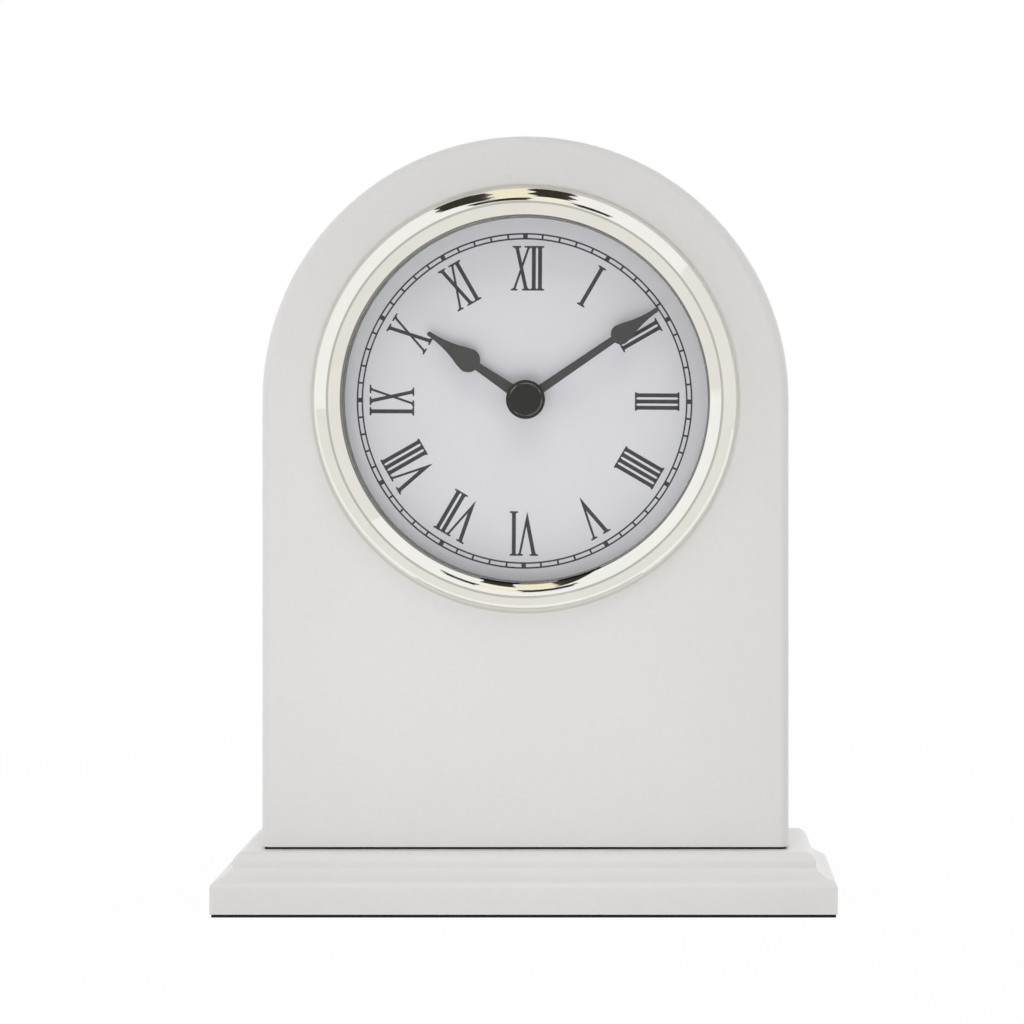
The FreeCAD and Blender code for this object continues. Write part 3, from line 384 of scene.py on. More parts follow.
@dataclass(frozen=True)
class Rolled(Grained):
    """Rolled, drawn or stamped metal, dulled in patches, with its grain along one axis."""

    tone_span: Span = (0.4, 0.7)
    tints: Span = (1.0, 0.82)
    roughness: float = 0.21
    metal: float = 1.0
    along: Axis = Axis.X
    fineness: float = 12.0

    def grains(self) -> tuple[Grain, ...]:
        """Give the grain's lines and the patches."""
        stretch = tuple(1.0 if axis is self.along else self.fineness for axis in Axis)
        return (Grain(1.2 * MM, 4.0, 0.65, stretch, dulling=0.14, height=0.004 * MM),
                Grain(4 * MM, 4.0, share=1.0, dulling=0.22, dull_span=(0.4, 0.8)))


class Side(Enum):
    """Which faces of a painted board stay bare."""

    NONE = "none"
    BACK = "back"
    FRONT = "front"
    INSIDE = "inside"


@dataclass(frozen=True)
class SatinPaint(Finish):
    """Sprayed satin paint on fibre board, with the board bare on the faces inside the case."""

    bare: Side = Side.NONE
    limit: float = 0.0
    colour: Colour = shade(223, 221, 219)
    cloud: Grain = Grain(45 * MM, 2.0)
    mottle: Grain = Grain(1.6 * MM, span=(0.34, 0.66), tints=(0.988, 1.01))
    peel: Grain = Grain(1.1 * MM, 2.0, height=0.012 * MM, strength=0.8)
    dust: Grain = Grain(0.22 * MM, 1.0, span=(0.70, 0.74), tints=(1.0, 0.80), share=0.25,
                        height=0.002 * MM, strength=0.6)
    sheen: Grain = Grain(18 * MM, 4.0, dulling=0.16)
    roughness: float = 0.25
    board: Colour = shade(150, 118, 84)
    board_dulling: float = 0.5
    fibre: Grain = Grain(0.5 * MM, 4.0, 0.7, (1.0, 3.0, 1.0), (0.35, 0.65), (0.72, 1.18),
                         height=0.06 * MM, strength=0.7)
    overspray: Grain = Grain(3 * MM)
    overspray_reach: float = 1.2 * MM
    floor_share: float = 0.25

    def bare_mask(self, shader: Shader, point: Signal) -> Optional[Signal]:
        """Give 1 where the board is bare, or None where all of it is painted."""
        across, depth, height = shader.axes(point)
        if self.bare is Side.BACK:
            return depth > self.limit
        if self.bare is Side.FRONT:
            return depth < self.limit
        if self.bare is Side.INSIDE:
            spray = (shader.noise(point, self.overspray) - 0.5) * self.overspray_reach
            raised = (height - axis_height()).math("MAXIMUM", 0.0)
            out = (across * across + raised * raised).math("SQRT")
            return (out + spray < self.limit) * (height > axis_height() * self.floor_share)
        return None

    def paint(self, shader: Shader, point: Signal) -> Signal:
        """Mottle the paint faintly, give it an orange-peel surface, and leave the inside bare."""
        mottle = shader.noise(point, self.cloud) * 0.5 + shader.noise(point, self.mottle) * 0.5
        dust = shader.noise(point, self.dust)
        colour = shader.tone(mottle, self.mottle, self.colour)
        colour = shader.fleck(dust, self.dust, colour, self.colour)
        normal = shader.bump(shader.noise(point, self.peel), self.peel)
        normal = shader.bump(dust, self.dust, normal)
        gloss = shader.noise(point, self.sheen) * self.sheen.dulling + self.roughness
        mask = self.bare_mask(shader, point)
        if mask is not None:
            fibres = shader.noise(point, self.fibre)
            colour = shader.mix(mask, colour, shader.tone(fibres, self.fibre, self.board))
            gloss = gloss + mask * self.board_dulling
            normal = shader.bump(fibres * mask, self.fibre, normal)
        return shader.surface(Base_Color=colour, Roughness=gloss, Normal=normal)


@dataclass(frozen=True)
class Felt(Finish):
    """Black pressed felt."""

    colour: Colour = shade(26, 26, 27)
    fibre: Grain = Grain(0.35 * MM, 6.0, 0.75, span=(0.56, 0.72), tints=(0.7, 2.4),
                         height=0.25 * MM)
    tangle: Grain = Grain(2.2 * MM)
    tangle_reach: float = 2 * MM
    roughness: float = 0.95
    sheen: float = 0.3

    def paint(self, shader: Shader, point: Signal) -> Signal:
        """Tangle fibres over the surface, with a few pale ones."""
        warp = shader.noise(point, self.tangle) * self.tangle_reach
        tangled = shader.vector(*[part + warp for part in shader.axes(point)])
        fibres = shader.noise(tangled, self.fibre)
        return shader.coat(shader.tone(fibres, self.fibre, self.colour), fibres, self.fibre,
                           self.roughness, Sheen_Weight=self.sheen)


@dataclass(frozen=True)
class TurnedMetal(Finish):
    """Plated metal with the fine rings that turning and buffing leave, and painted shade at both
    edges.
    """

    colour: Colour = shade(241, 240, 235)
    # painted shade: the lip's inner edge is coloured dark grey for the shade that falls there
    lip: Colour = shade(132, 131, 127)
    # painted shadow: a darker ring at the bezel's outer edge, for the shadow line between bezel and
    # case
    seam: Colour = shade(230, 228, 221)
    lip_shade_radius: float = 47.55 * MM
    seam_shadow_radius: float = 54.5 * MM
    fade: float = 0.15 * MM
    groove: Grain = Grain(0.08 * MM, 2.0, dulling=0.02, height=0.0006 * MM)
    smear: Grain = Grain(9 * MM, span=(0.3, 0.7), tints=(0.975, 1.0), dulling=0.05,
                         dull_span=(0.42, 0.7))
    roughness: float = 0.02

    def paint(self, shader: Shader, point: Signal) -> Signal:
        """Draw rings round the dial's axis and dull patches, and paint shade on the lip and a
        shadow at the seam.
        """
        out = shader.from_line(point, axis_height())
        rings = shader.noise(shader.vector(out, shader.axes(point)[1], 0.0), self.groove)
        smear = shader.noise(point, self.smear)
        colour = shader.tone(smear, self.smear, self.colour)
        # painted shade inside the lip, and a painted shadow line past the seam
        past_lip_shade = out.ramp(self.lip_shade_radius, self.lip_shade_radius + self.fade)
        in_seam_shadow = out.ramp(self.seam_shadow_radius - self.fade, self.seam_shadow_radius)
        colour = shader.mix(in_seam_shadow, shader.mix(past_lip_shade, self.lip, colour), self.seam)
        gloss = (smear.ramp(*self.smear.dull_span) * self.smear.dulling
                 + rings * self.groove.dulling + self.roughness)
        return shader.surface(Base_Color=colour, Metallic=1.0, Roughness=gloss,
                              Normal=shader.bump(rings, self.groove))


@dataclass(frozen=True)
class ClearGlass(Finish):
    """Flat window glass that lets the lamps through."""

    tint: Colour = (0.995, 0.998, 0.997)
    square_share: float = 0.012
    grazing_share: float = 0.8
    falloff: float = 5.0
    wipe: Grain = Grain(7 * MM, 5.0, 0.65, (1.0, 1.0, 0.35), (0.5, 0.8), dulling=0.05)
    roughness: float = 0.015

    def paint(self, shader: Shader, point: Signal) -> Signal:
        """Mix a clear pane and a mirror by the angle, with faint wipe marks in the mirror."""
        marks = shader.noise(point, self.wipe).ramp(*self.wipe.span)
        facing = shader.add("ShaderNodeLayerWeight", None, {"Blend": 0.5}, "Facing")
        shine = facing.math("POWER", self.falloff) * self.grazing_share + self.square_share
        clear = shader.add("ShaderNodeBsdfTransparent", None, {"Color": self.tint})
        mirror = shader.surface(Base_Color=WHITE, Metallic=1.0,
                                Roughness=marks * self.wipe.dulling + self.roughness)
        return shader.blend(shine, clear, mirror)


@dataclass(frozen=True)
class CoatedDial(Finish):
    """Cool white coat on the dial's sheet, with painted shade a little greyer towards its edge."""

    centre: Colour = shade(232, 231, 237)
    # painted shade: the rim colour is a little greyer, for the shade of the bezel's recess
    rim: Colour = shade(229, 228, 232)
    edge_shade_from: float = 37 * MM
    edge_shade_to: float = 48 * MM
    cloud: Grain = Grain(20 * MM, 2.0, span=(0.35, 0.65), tints=(1.0, 0.97), share=0.35)
    tooth: Grain = Grain(0.25 * MM, span=(0.6, 0.8), tints=(1.0, 0.92), share=0.2, dulling=0.2,
                         height=0.004 * MM, strength=0.8)
    roughness: float = 0.45

    def paint(self, shader: Shader, point: Signal) -> Signal:
        """Fade the coat to painted shade towards the rim and add a fine tooth."""
        out = shader.from_line(point, axis_height())
        colour = shader.mix(out.ramp(self.edge_shade_from, self.edge_shade_to), self.centre, self.rim)
        colour = shader.fleck(shader.noise(point, self.cloud), self.cloud, colour, self.centre)
        tooth = shader.noise(point, self.tooth)
        return shader.coat(shader.fleck(tooth, self.tooth, colour, self.rim), tooth, self.tooth,
                           self.roughness)


@dataclass(frozen=True)
class RimmedCap(Finish):
    """Black moulded cap, with a thin painted highlight line where its raised rim begins."""

    middle: Colour = shade(12, 12, 14)
    rim: Colour = shade(9, 9, 10)
    # painted highlight: a pale line on the rim's edge, broken up by a noise pattern
    rim_highlight: Colour = shade(112, 112, 110)
    rim_radius: float = 4.3 * MM
    rim_highlight_width: float = 0.2 * MM
    fade: float = 0.12 * MM
    highlight_breakup: Grain = Grain(2.5 * MM, 2.0, span=(0.3, 0.55))
    tooth: Grain = Grain(0.2 * MM, span=(0.6, 0.8), tints=(1.0, 2.5), share=0.3, dulling=0.1,
                         height=0.003 * MM)
    roughness: float = 0.19

    def paint(self, shader: Shader, point: Signal) -> Signal:
        """Step from the middle to the rim over a painted highlight line, with a fine tooth."""
        out = shader.from_line(point, axis_height())
        inner, outer = self.rim_radius - self.rim_highlight_width, self.rim_radius
        colour = shader.mix(out.ramp(inner, outer), self.middle, self.rim)
        line = out.ramp(inner - self.fade, inner) * (1 - out.ramp(outer, outer + self.fade))
        # painted highlight: the pale line shows only where the breakup pattern lets it
        highlight_breakup = shader.noise(point, self.highlight_breakup).ramp(*self.highlight_breakup.span)
        colour = shader.mix(line * highlight_breakup, colour, self.rim_highlight)
        tooth = shader.noise(point, self.tooth)
        return shader.coat(shader.fleck(tooth, self.tooth, colour, self.middle), tooth,
                           self.tooth, self.roughness)


@dataclass(frozen=True)
class Sintered(Finish):
    """Dull grey pressed magnet."""

    colour: Colour = shade(70, 68, 68)
    grain: Grain = Grain(0.4 * MM, 5.0, span=(0.35, 0.7), tints=(0.7, 1.5), dulling=0.2)
    cell: Grain = Grain(0.25 * MM, height=0.01 * MM)
    metal: float = 0.35
    roughness: float = 0.5

    def paint(self, shader: Shader, point: Signal) -> Signal:
        """Show the pressed grains."""
        cells = shader.add("ShaderNodeTexVoronoi", None,
                           {"Vector": point, "Scale": 1 / self.cell.width})
        grain = shader.noise(point, self.grain)
        return shader.surface(Base_Color=shader.tone(grain, self.grain, self.colour),
                              Metallic=self.metal,
                              Roughness=grain * self.grain.dulling + self.roughness,
                              Normal=shader.bump(cells, self.cell))


@dataclass(frozen=True)
class WoundCopper(Finish):
    """Fine enamelled copper wire, wound in close turns along X."""

    colour: Colour = shade(186, 98, 52)
    wire: Grain = Grain(0.11 * MM, height=0.11 * MM / 3)
    # painted shade: how dark the gaps between turns are made
    gap_shade_tint: float = 0.35
    drift: Grain = Grain(2 * MM)
    drift_reach: float = 0.3 * MM
    layer: Grain = Grain(0.6 * MM, stretch=(1.0, 0.2, 0.2), span=(0.45, 0.7),
                         tints=(1.0, 1.35), share=0.4, dulling=0.1)
    metal: float = 0.8
    enamel: float = 0.4
    roughness: float = 0.24

    def paint(self, shader: Shader, point: Signal) -> Signal:
        """Raise each turn, paint shade in the gaps between turns, and let layers cross here and
        there.
        """
        along = shader.axes(point)[0] + (shader.noise(point, self.drift) - 0.5) * self.drift_reach
        turns = (along * (math.tau / self.wire.width)).math("SINE") * 0.5 + 0.5
        layer = shader.noise(point, self.layer)
        # painted shade: the colour darkens in the gaps between turns
        colour = shader.mix(turns, tinted(self.colour, self.gap_shade_tint), self.colour)
        colour = shader.fleck(layer, self.layer, colour, self.colour)
        return shader.surface(Base_Color=colour, Metallic=self.metal,
                              Roughness=layer * self.layer.dulling + self.roughness,
                              Normal=shader.bump(turns, self.wire), Coat_Weight=self.enamel)


@dataclass(frozen=True)
class CircuitBoard(Finish):
    """Green lacquered board with tracks showing through."""

    colour: Colour = shade(22, 84, 48)
    track: Colour = shade(60, 140, 78)
    track_width: float = 0.22 * MM
    track_length: float = 3.1 * MM
    track_pitch: float = 1.7 * MM
    weave: Grain = Grain(0.55 * MM, span=(0.2, 1.0), tints=(1.0, 1.6), share=0.2, dulling=0.04,
                         height=0.03 * MM)
    roughness: float = 0.3
    lacquer: float = 0.3

    def paint(self, shader: Shader, point: Signal) -> Signal:
        """Run tracks under the lacquer, over the board's weave."""
        across, _, height = shader.axes(point)
        tracks = shader.add("ShaderNodeTexBrick", {"offset": 0.5},
                            {"Vector": shader.vector(across, height, 0.0), "Scale": 1.0,
                             "Color1": BLACK, "Color2": BLACK, "Mortar": WHITE,
                             "Mortar Size": self.track_width, "Mortar Smooth": 0.1,
                             "Brick Width": self.track_length, "Row Height": self.track_pitch}, 1)
        rate = math.tau / self.weave.width
        threads = (across * rate).math("SINE") * (height * rate).math("SINE")
        colour = shader.fleck(threads, self.weave, shader.mix(tracks, self.colour, self.track),
                              self.colour)
        return shader.surface(Base_Color=colour, Coat_Weight=self.lacquer,
                              Roughness=threads * self.weave.dulling + self.roughness,
                              Normal=shader.bump(tracks * 0.8 + threads * 0.1, self.weave))


@dataclass(frozen=True)
class CellSkin(Finish):
    """A cell's printed film in two plain colours, with bare metal at its ends."""

    negative_end: float = 0.0
    positive_end: float = 0.0
    body: Colour = shade(58, 84, 96)
    band: Colour = shade(222, 222, 216)
    metal: Colour = shade(205, 203, 198)
    line_width: float = 0.9 * MM
    band_length: float = 13 * MM
    nub_length: float = 1.3 * MM
    film_inset: float = 0.05 * MM
    film_metal: float = 0.35
    scuff: Grain = Grain(5 * MM, 4.0, span=(0.5, 0.8), tints=(1.0, 0.7), share=0.2)
    grain: Grain = Grain(0.6 * MM, stretch=(0.3, 1.0, 1.0), dulling=0.12, height=0.006 * MM)
    roughness: float = 0.24

    def paint(self, shader: Shader, point: Signal) -> Signal:
        """Band the film along the cell, and leave both ends metal."""
        along = shader.axes(point)[0]
        film_end = self.positive_end - self.nub_length - self.film_inset
        band_end = film_end - self.band_length
        film = (along > self.negative_end + self.film_inset) * (along < film_end)
        band = along > band_end
        line = (along > band_end - self.line_width) * (1 - band)
        printed = shader.mix(line, shader.mix(band, self.body, self.band), self.metal)
        printed = shader.fleck(shader.noise(point, self.scuff), self.scuff, printed, self.metal)
        grain = shader.noise(point, self.grain)
        return shader.coat(shader.mix(film, self.metal, printed), grain, self.grain,
                           self.roughness, Metallic=1 - film * (1 - self.film_metal))


@dataclass(frozen=True)
class ResinDrop(Finish):
    """Black resin over the chip."""

    colour: Colour = shade(24, 24, 25)
    wave: Grain = Grain(1.5 * MM, 2.0, span=(0.4, 0.6), tints=(1.0, 1.6), dulling=0.2,
                        height=0.05 * MM)
    pit: Grain = Grain(0.2 * MM, 1.0, span=(0.66, 0.74), share=0.3)
    roughness: float = 0.15

    def paint(self, shader: Shader, point: Signal) -> Signal:
        """Give the resin the slow waves and pits that it sets with."""
        waves = shader.noise(point, self.wave)
        pits = shader.noise(point, self.pit).ramp(*self.pit.span) * self.pit.share
        return shader.surface(Base_Color=shader.tone(waves, self.wave, self.colour),
                              Roughness=waves * self.wave.dulling + self.roughness,
                              Normal=shader.bump(waves - pits, self.wave))


@dataclass(frozen=True)
class PlainLight(Finish):
    """One plain colour that lights itself."""

    colour: Colour

    def paint(self, shader: Shader, point: Signal) -> Signal:
        """Give the light."""
        return shader.light(self.colour)


@dataclass(frozen=True)
class WhiteFloor(Finish):
    """A white floor that keeps a little of the clock's shadow near the clock."""

    colour: Colour = (0.9, 0.9, 0.9)
    glow: float = 0.95
    shadow_reach: float = 0.7

    def paint(self, shader: Shader, point: Signal) -> Signal:
        """Mix plain light into the lit floor, up to all of it where the shadow's reach ends."""
        matt = shader.add("ShaderNodeBsdfDiffuse", None, {"Color": self.colour})
        out = shader.from_line(point, along=Axis.Z)
        fade = out.ramp(self.shadow_reach / 3, self.shadow_reach)
        share = shader.plain_rays() * (fade * (1 - self.glow) + self.glow)
        return shader.blend(share, matt, shader.light(WHITE))


def dress(finish: Finish, *nodes: str) -> None:
    """Give CAD nodes a finish.

    Args:
        finish: The finish.
        nodes: Names of the nodes.
    """
    for name in nodes:
        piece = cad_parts[name]
        if not piece.material_slots:
            piece.data.materials.append(None)
        for material_slot in piece.material_slots:
            material_slot.material = finish.material()
        log.info("dressed %s in %s", name, finish.name)


def add_piece(name: str, corners: Sequence[Sequence[float]], faces: Sequence[Sequence[int]],
              finish: Finish) -> bpy.types.Object:
    """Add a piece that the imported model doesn't have.

    Args:
        name: The piece's name.
        corners: Corners of its mesh.
        faces: Faces, as numbers of corners.
        finish: Its finish.

    Returns:
        The piece.
    """
    mesh = bpy.data.meshes.new(name)
    mesh.from_pydata(corners, [], faces)
    mesh.validate()
    mesh.materials.append(finish.material())
    piece = bpy.data.objects.new(name, mesh)
    bpy.context.scene.collection.objects.link(piece)
    return piece


@dataclass
class Plinth:
    """The moulded board that the clock stands on, with its felt, gasket and screws."""

    peel_width: float = 1.3 * MM

    def dress(self) -> None:
        """Paint the board and blacken the sheets under and over it."""
        peel = replace(SatinPaint.peel, width=self.peel_width)
        dress(SatinPaint("satin_paint_plinth", peel=peel), "plinth")
        dress(Felt("black_felt"), "base_felt")
        dress(Moulded("dark_gasket", shade(22, 22, 22), tooth=0.15 * MM, tooth_height=0.03 * MM,
                      roughness=0.66), "seat_gasket")
        dress(Rolled("zinc_screw_plinth", ZINC, along=Axis.Z, fineness=6.0), "plinth_screws")


@dataclass
class CrossScrews:
    """Like screws that look backwards out of the clock, with a cross-shaped drive in each head.

    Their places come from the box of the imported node. A profile lists radius and depth under the
    head's face in millimetres, from the edge of the face to the point. The drive's sizes are
    shares of the head's radius, and its rings are shares of its reach and depth.
    """

    node: str
    head_radius: float
    profile: tuple[Point, ...]
    upper_share: float = 1.0
    arm_share: float = 0.56
    arm_half_width_share: float = 0.14
    drive_depth_share: float = 0.38
    drive_rings: tuple[Point, ...] = ((0.5, 0.9), (0.94, 0.05), (1.0, 0.0))
    turns: tuple[float, ...] = (0.35, -0.6, 1.2, 0.1)
    rays: int = 40

    def places(self) -> list[Vector]:
        """Give the middle of each head's face: two low screws, then two high ones."""
        low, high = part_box(self.node)
        reach = high.x - self.head_radius
        return [Vector((side * across, high.y, level))
                for across, level in ((reach, low.z + self.head_radius),
                                      (reach * self.upper_share, high.z - self.head_radius))
                for side in (-1, 1)]

    @property
    def corner_angle(self) -> float:
        """Angle between the middle of the drive's arm and its corner, seen from the axis."""
        return math.atan2(self.arm_half_width_share, self.arm_share)

    def angles(self) -> list[float]:
        """Give the directions of the mesh's rays, with one through each corner of the drive."""
        even = [math.tau * ray / self.rays for ray in range(self.rays)]
        corners = [math.pi / 2 * arm + side * self.corner_angle
                   for arm in range(4) for side in (-1, 1)]
        return sorted(angle % math.tau for angle in even + corners)

    def drive_reach(self, angle: float) -> float:
        """Measure from the screw's axis to the drive's outline, in a direction from the axis."""
        off = abs((angle + math.pi / 4) % (math.pi / 2) - math.pi / 4)
        if off < self.corner_angle:
            return self.arm_share / math.cos(off) * self.head_radius
        return self.arm_half_width_share / math.sin(off) * self.head_radius

    def rings(self) -> list[list[tuple[float, float, float]]]:
        """Give the mesh's rings as angle, radius and depth, from the drive's floor to the point."""
        deep = self.drive_depth_share * self.head_radius
        drive = [[(angle, self.drive_reach(angle) * share, deep * down) for angle in self.angles()]
                 for share, down in self.drive_rings]
        return drive + [[(angle, radius * MM, depth * MM) for angle in self.angles()]
                        for radius, depth in self.profile]

    def corners(self, middle: Vector, turn: float) -> list[Place]:
        """Place one screw's corners: its rings, the middle of the drive's floor, and the tip.

        Args:
            middle: Middle of the head's face.
            turn: Angle that the screw is turned by.

        Returns:
            The corners.
        """
        placed = [(middle.x + radius * math.cos(angle + turn), middle.y - depth,
                   middle.z + radius * math.sin(angle + turn))
                  for ring in self.rings() for angle, radius, depth in ring]
        ends = (self.drive_depth_share * self.head_radius, self.profile[-1][1] * MM)
        return placed + [(middle.x, middle.y - depth, middle.z) for depth in ends]

    def faces(self, first: int) -> list[tuple[int, ...]]:
        """Join one screw's corners, the first of which has a given number."""
        count = len(self.angles())
        floor = first + len(self.rings()) * count
        last, tip = floor - count, floor + 1
        joined = []
        for ray in range(count):
            beside = (ray + 1) % count
            joined += [(floor, first + beside, first + ray), (last + ray, last + beside, tip)]
            joined += [(here + ray, here + beside, here + count + beside, here + count + ray)
                       for here in range(first, last, count)]
        return joined

    def build(self) -> bpy.types.Object:
        """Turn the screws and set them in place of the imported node's.

        Returns:
            The piece.
        """
        corners, faces = [], []
        for middle, turn in zip(self.places(), self.turns):
            faces += self.faces(len(corners))
            corners += self.corners(middle, turn)
        piece = add_piece(f"{self.node}_cross_headed", corners, faces,
                          Rolled(f"zinc_{self.node}", ZINC, along=Axis.Y, fineness=6.0))
        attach(piece, "case")
        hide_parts(self.node)
        log.info("turned %s", piece.name)
        return piece


@dataclass
class ArchedCase:
    """The painted case: front panel, bent frame, back panel and screws."""

    paint_depth: float = 0.03 * MM
    wall_share: float = 0.5
    panel_head: float = 3.2 * MM
    panel_profile: tuple[Point, ...] = ((3.0, 0.0), (3.08, 0.02), (3.106, 0.1), (1.5, 1.8),
                                        (1.5, 17.6), (1.2, 18.0))
    clip_head: float = 2.4 * MM
    clip_profile: tuple[Point, ...] = ((2.25, 0.0), (2.36, 0.05), (2.4, 0.16), (2.4, 1.2),
                                       (1.3, 1.2), (1.3, 7.9), (1.0, 8.2))

    def dress(self) -> None:
        """Paint the outside, leave the board bare on the faces inside, and turn the screws."""
        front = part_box("case_front_panel")
        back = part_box("case_back_panel")
        wall = (back[1].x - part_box("bezel_clips")[1].x) * self.wall_share
        dress(SatinPaint("satin_paint_front", Side.BACK, front[1].y - self.paint_depth),
              "case_front_panel")
        dress(SatinPaint("satin_paint_frame", Side.INSIDE, back[1].x - wall), "case_arch_frame")
        dress(SatinPaint("satin_paint_back", Side.FRONT, back[0].y + self.paint_depth),
              "case_back_panel")
        CrossScrews("back_panel_screws", self.panel_head, self.panel_profile,
                    math.cos(math.pi / 4)).build()
        CrossScrews("clip_screws", self.clip_head, self.clip_profile).build()


@dataclass
class GlazedBezel:
    """The nickel bezel with its sleeve, clips, glass and spacer."""

    def dress(self) -> None:
        """Plate the metal, clear the glass, and grain the spacer, coloured dark grey as painted
        shade.
        """
        dress(TurnedMetal("polished_nickel"), "bezel", "bezel_sleeve")
        dress(Rolled("nickel_clip", shade(214, 212, 206)), "bezel_clips")
        dress(ClearGlass("clear_glass"), "glass")
        # painted shade: the spacer is coloured dark grey for the shade ring between the bezel's lip
        # and the dial
        dress(Moulded("white_plastic", shade(124, 124, 125), tooth=0.4 * MM,
                      tooth_height=0.01 * MM), "dial_spacer_ring")


@dataclass
class DialPrint:
    """Ink on the dial: twelve radial Roman numerals inside a railroad minute track.

    The print lies a hair left of and under the hands' axis, and turned clockwise by a third of
    a degree. A numeral's own frame has its foot towards the centre.
    """

    ink: float = 0.03 * MM
    shift_across: float = -0.46 * MM
    shift_up: float = -0.39 * MM
    turn: float = math.radians(0.3)
    foot_radius: float = 28.7 * MM
    head_radius: float = 40.3 * MM
    thick: float = 1.02 * MM
    thin: float = 0.58 * MM
    serif: float = 0.44 * MM
    bracket: float = 0.3 * MM
    long_reach: float = 1.15 * MM
    short_reach: float = 0.85 * MM
    thin_reach: float = 0.92 * MM
    bar_pitch: float = 1.62 * MM
    vee_width: float = 3.72 * MM
    vee_apex_share: float = 0.47
    vee_to_bar: float = 1.5 * MM
    ex_thick_half: float = 1.22 * MM
    ex_thin_half: float = 1.9 * MM
    ex_thick_share: float = 0.9
    ex_to_bar: float = 3.2 * MM
    bar_to_ex: float = 3.9 * MM
    track_outer: float = 43.46 * MM
    track_inner: float = 42.19 * MM
    track_line: float = 0.42 * MM
    tick_width: float = 0.5 * MM
    block_width: float = 1.2 * MM
    minutes: int = 60
    ring_steps: int = 360
    round_steps: int = 6
    weld: float = 1e-6
    numerals: tuple[str, ...] = ("XII", "I", "II", "III", "IIII", "V",
                                 "VI", "VII", "VIII", "IX", "X", "XI")
    nudges: Mapping[str, float] = field(default_factory=lambda: {"XII": 0.6 * MM, "VII": -0.5 * MM})

    @property
    def height(self) -> float:
        """Height of a numeral."""
        return self.head_radius - self.foot_radius

    def capsule(self, left: float, right: float, level: float) -> Outline:
        """Draw a serif: a bar with round ends.

        Args:
            left: Its left end.
            right: Its right end.
            level: Height of its middle.

        Returns:
            Its outline.
        """
        radius = self.serif / 2
        outline = []
        for middle, start in ((right - radius, -math.pi / 2), (left + radius, math.pi / 2)):
            for step in range(self.round_steps + 1):
                angle = start + math.pi * step / self.round_steps
                outline.append((middle + radius * math.cos(angle),
                                level + radius * math.sin(angle)))
        return outline

    def stroke(self, foot: float, head: float, width: float) -> Outline:
        """Draw a stroke from the foot line to the head line.

        Args:
            foot: Where its middle meets the foot line.
            head: Where its middle meets the head line.
            width: Its width, square to the stroke.

        Returns:
            Its outline.
        """
        half = width / 2 * math.hypot(head - foot, self.height) / self.height
        low, high = self.serif / 2, self.height - self.serif / 2
        return [(foot - half, low), (foot + half, low), (head + half, high), (head - half, high)]

    def foot_of(self, place: float, width: float, reach: float, at_head: bool) -> list[Outline]:
        """Draw a stroke's end: its serif and the small bracket into the stroke.

        Args:
            place: Middle of the stroke's end.
            width: Width of the stroke.
            reach: Half the serif's length.
            at_head: True at the head line, False at the foot line.

        Returns:
            The outlines.
        """
        level = self.height - self.serif / 2 if at_head else self.serif / 2
        inward = -1.0 if at_head else 1.0
        base, tip = width / 2 + self.bracket, width / 2
        bracket = [(place - base, level), (place + base, level),
                   (place + tip, level + inward * (self.serif / 2 + self.bracket)),
                   (place - tip, level + inward * (self.serif / 2 + self.bracket))]
        return [self.capsule(place - reach, place + reach, level), bracket]

    def bar(self, place: float, reach: float) -> list[Outline]:
        """Draw an I."""
        return [self.stroke(place, place, self.thick),
                *self.foot_of(place, self.thick, reach, False),
                *self.foot_of(place, self.thick, reach, True)]

    def vee(self, place: float) -> list[Outline]:
        """Draw a V from the middle of its thick stroke's head, with a sharp foot."""
        left, right = place - self.thick / 2, place + self.vee_width + self.thin / 2
        apex = place + self.vee_width * self.vee_apex_share
        top, width = self.height - self.serif / 2, right - left
        inner = 1 - (self.thick + self.thin) / width
        crotch = (left + self.thick + (apex - left) * inner, top * (1 - inner))
        thick = [(left, top), (apex, 0.0), crotch, (left + self.thick, top)]
        thin = [(right, top), (right - self.thin, top), crotch, (apex, 0.0)]
        return [thick, thin, *self.foot_of(place, self.thick, self.long_reach, True),
                *self.foot_of(place + self.vee_width, self.thin, self.thin_reach, True)]

    def ex(self, place: float) -> list[Outline]:
        """Draw an X about its middle."""
        thick, thin = self.ex_thick_half, self.ex_thin_half
        return [self.stroke(place + thick, place - thick, self.thick * self.ex_thick_share),
                self.stroke(place - thin, place + thin, self.thin),
                *self.foot_of(place - thick, self.thick, self.long_reach, True),
                *self.foot_of(place + thick, self.thick, self.long_reach, False),
                *self.foot_of(place + thin, self.thin, self.long_reach, True),
                *self.foot_of(place - thin, self.thin, self.thin_reach, False)]

    def letters(self, text: str) -> list[Outline]:
        """Draw a numeral's letters side by side, with their middle on the hour's line.

        Args:
            text: The numeral.

        Returns:
            Outlines across and up from the middle of the foot line.
        """
        steps = {"II": self.bar_pitch, "VI": self.vee_width + self.vee_to_bar,
                 "XI": self.ex_to_bar, "IX": self.bar_to_ex}
        reach = self.short_reach if text.count("I") > 2 else self.long_reach
        draw = {"I": lambda at: self.bar(at, reach), "V": self.vee, "X": self.ex}
        place, drawn = 0.0, []
        for index, letter in enumerate(text):
            if index:
                place += steps[text[index - 1:index + 1]]
            drawn += draw[letter](place)
        across = [point[0] for outline in drawn for point in outline]
        middle = (min(across) + max(across)) / 2 - self.nudges.get(text, 0.0)
        return [[(x - middle, y) for x, y in outline] for outline in drawn]

    def on_dial(self, outline: Outline, angle: float) -> Outline:
        """Turn an outline from its own frame to its hour.

        Args:
            outline: Points across, and out from the centre.
            angle: Clockwise angle from XII.

        Returns:
            Points across and up from the hands' axis.
        """
        sine, cosine = math.sin(angle + self.turn), math.cos(angle + self.turn)
        return [(x * cosine + y * sine + self.shift_across, y * cosine - x * sine + self.shift_up)
                for x, y in outline]

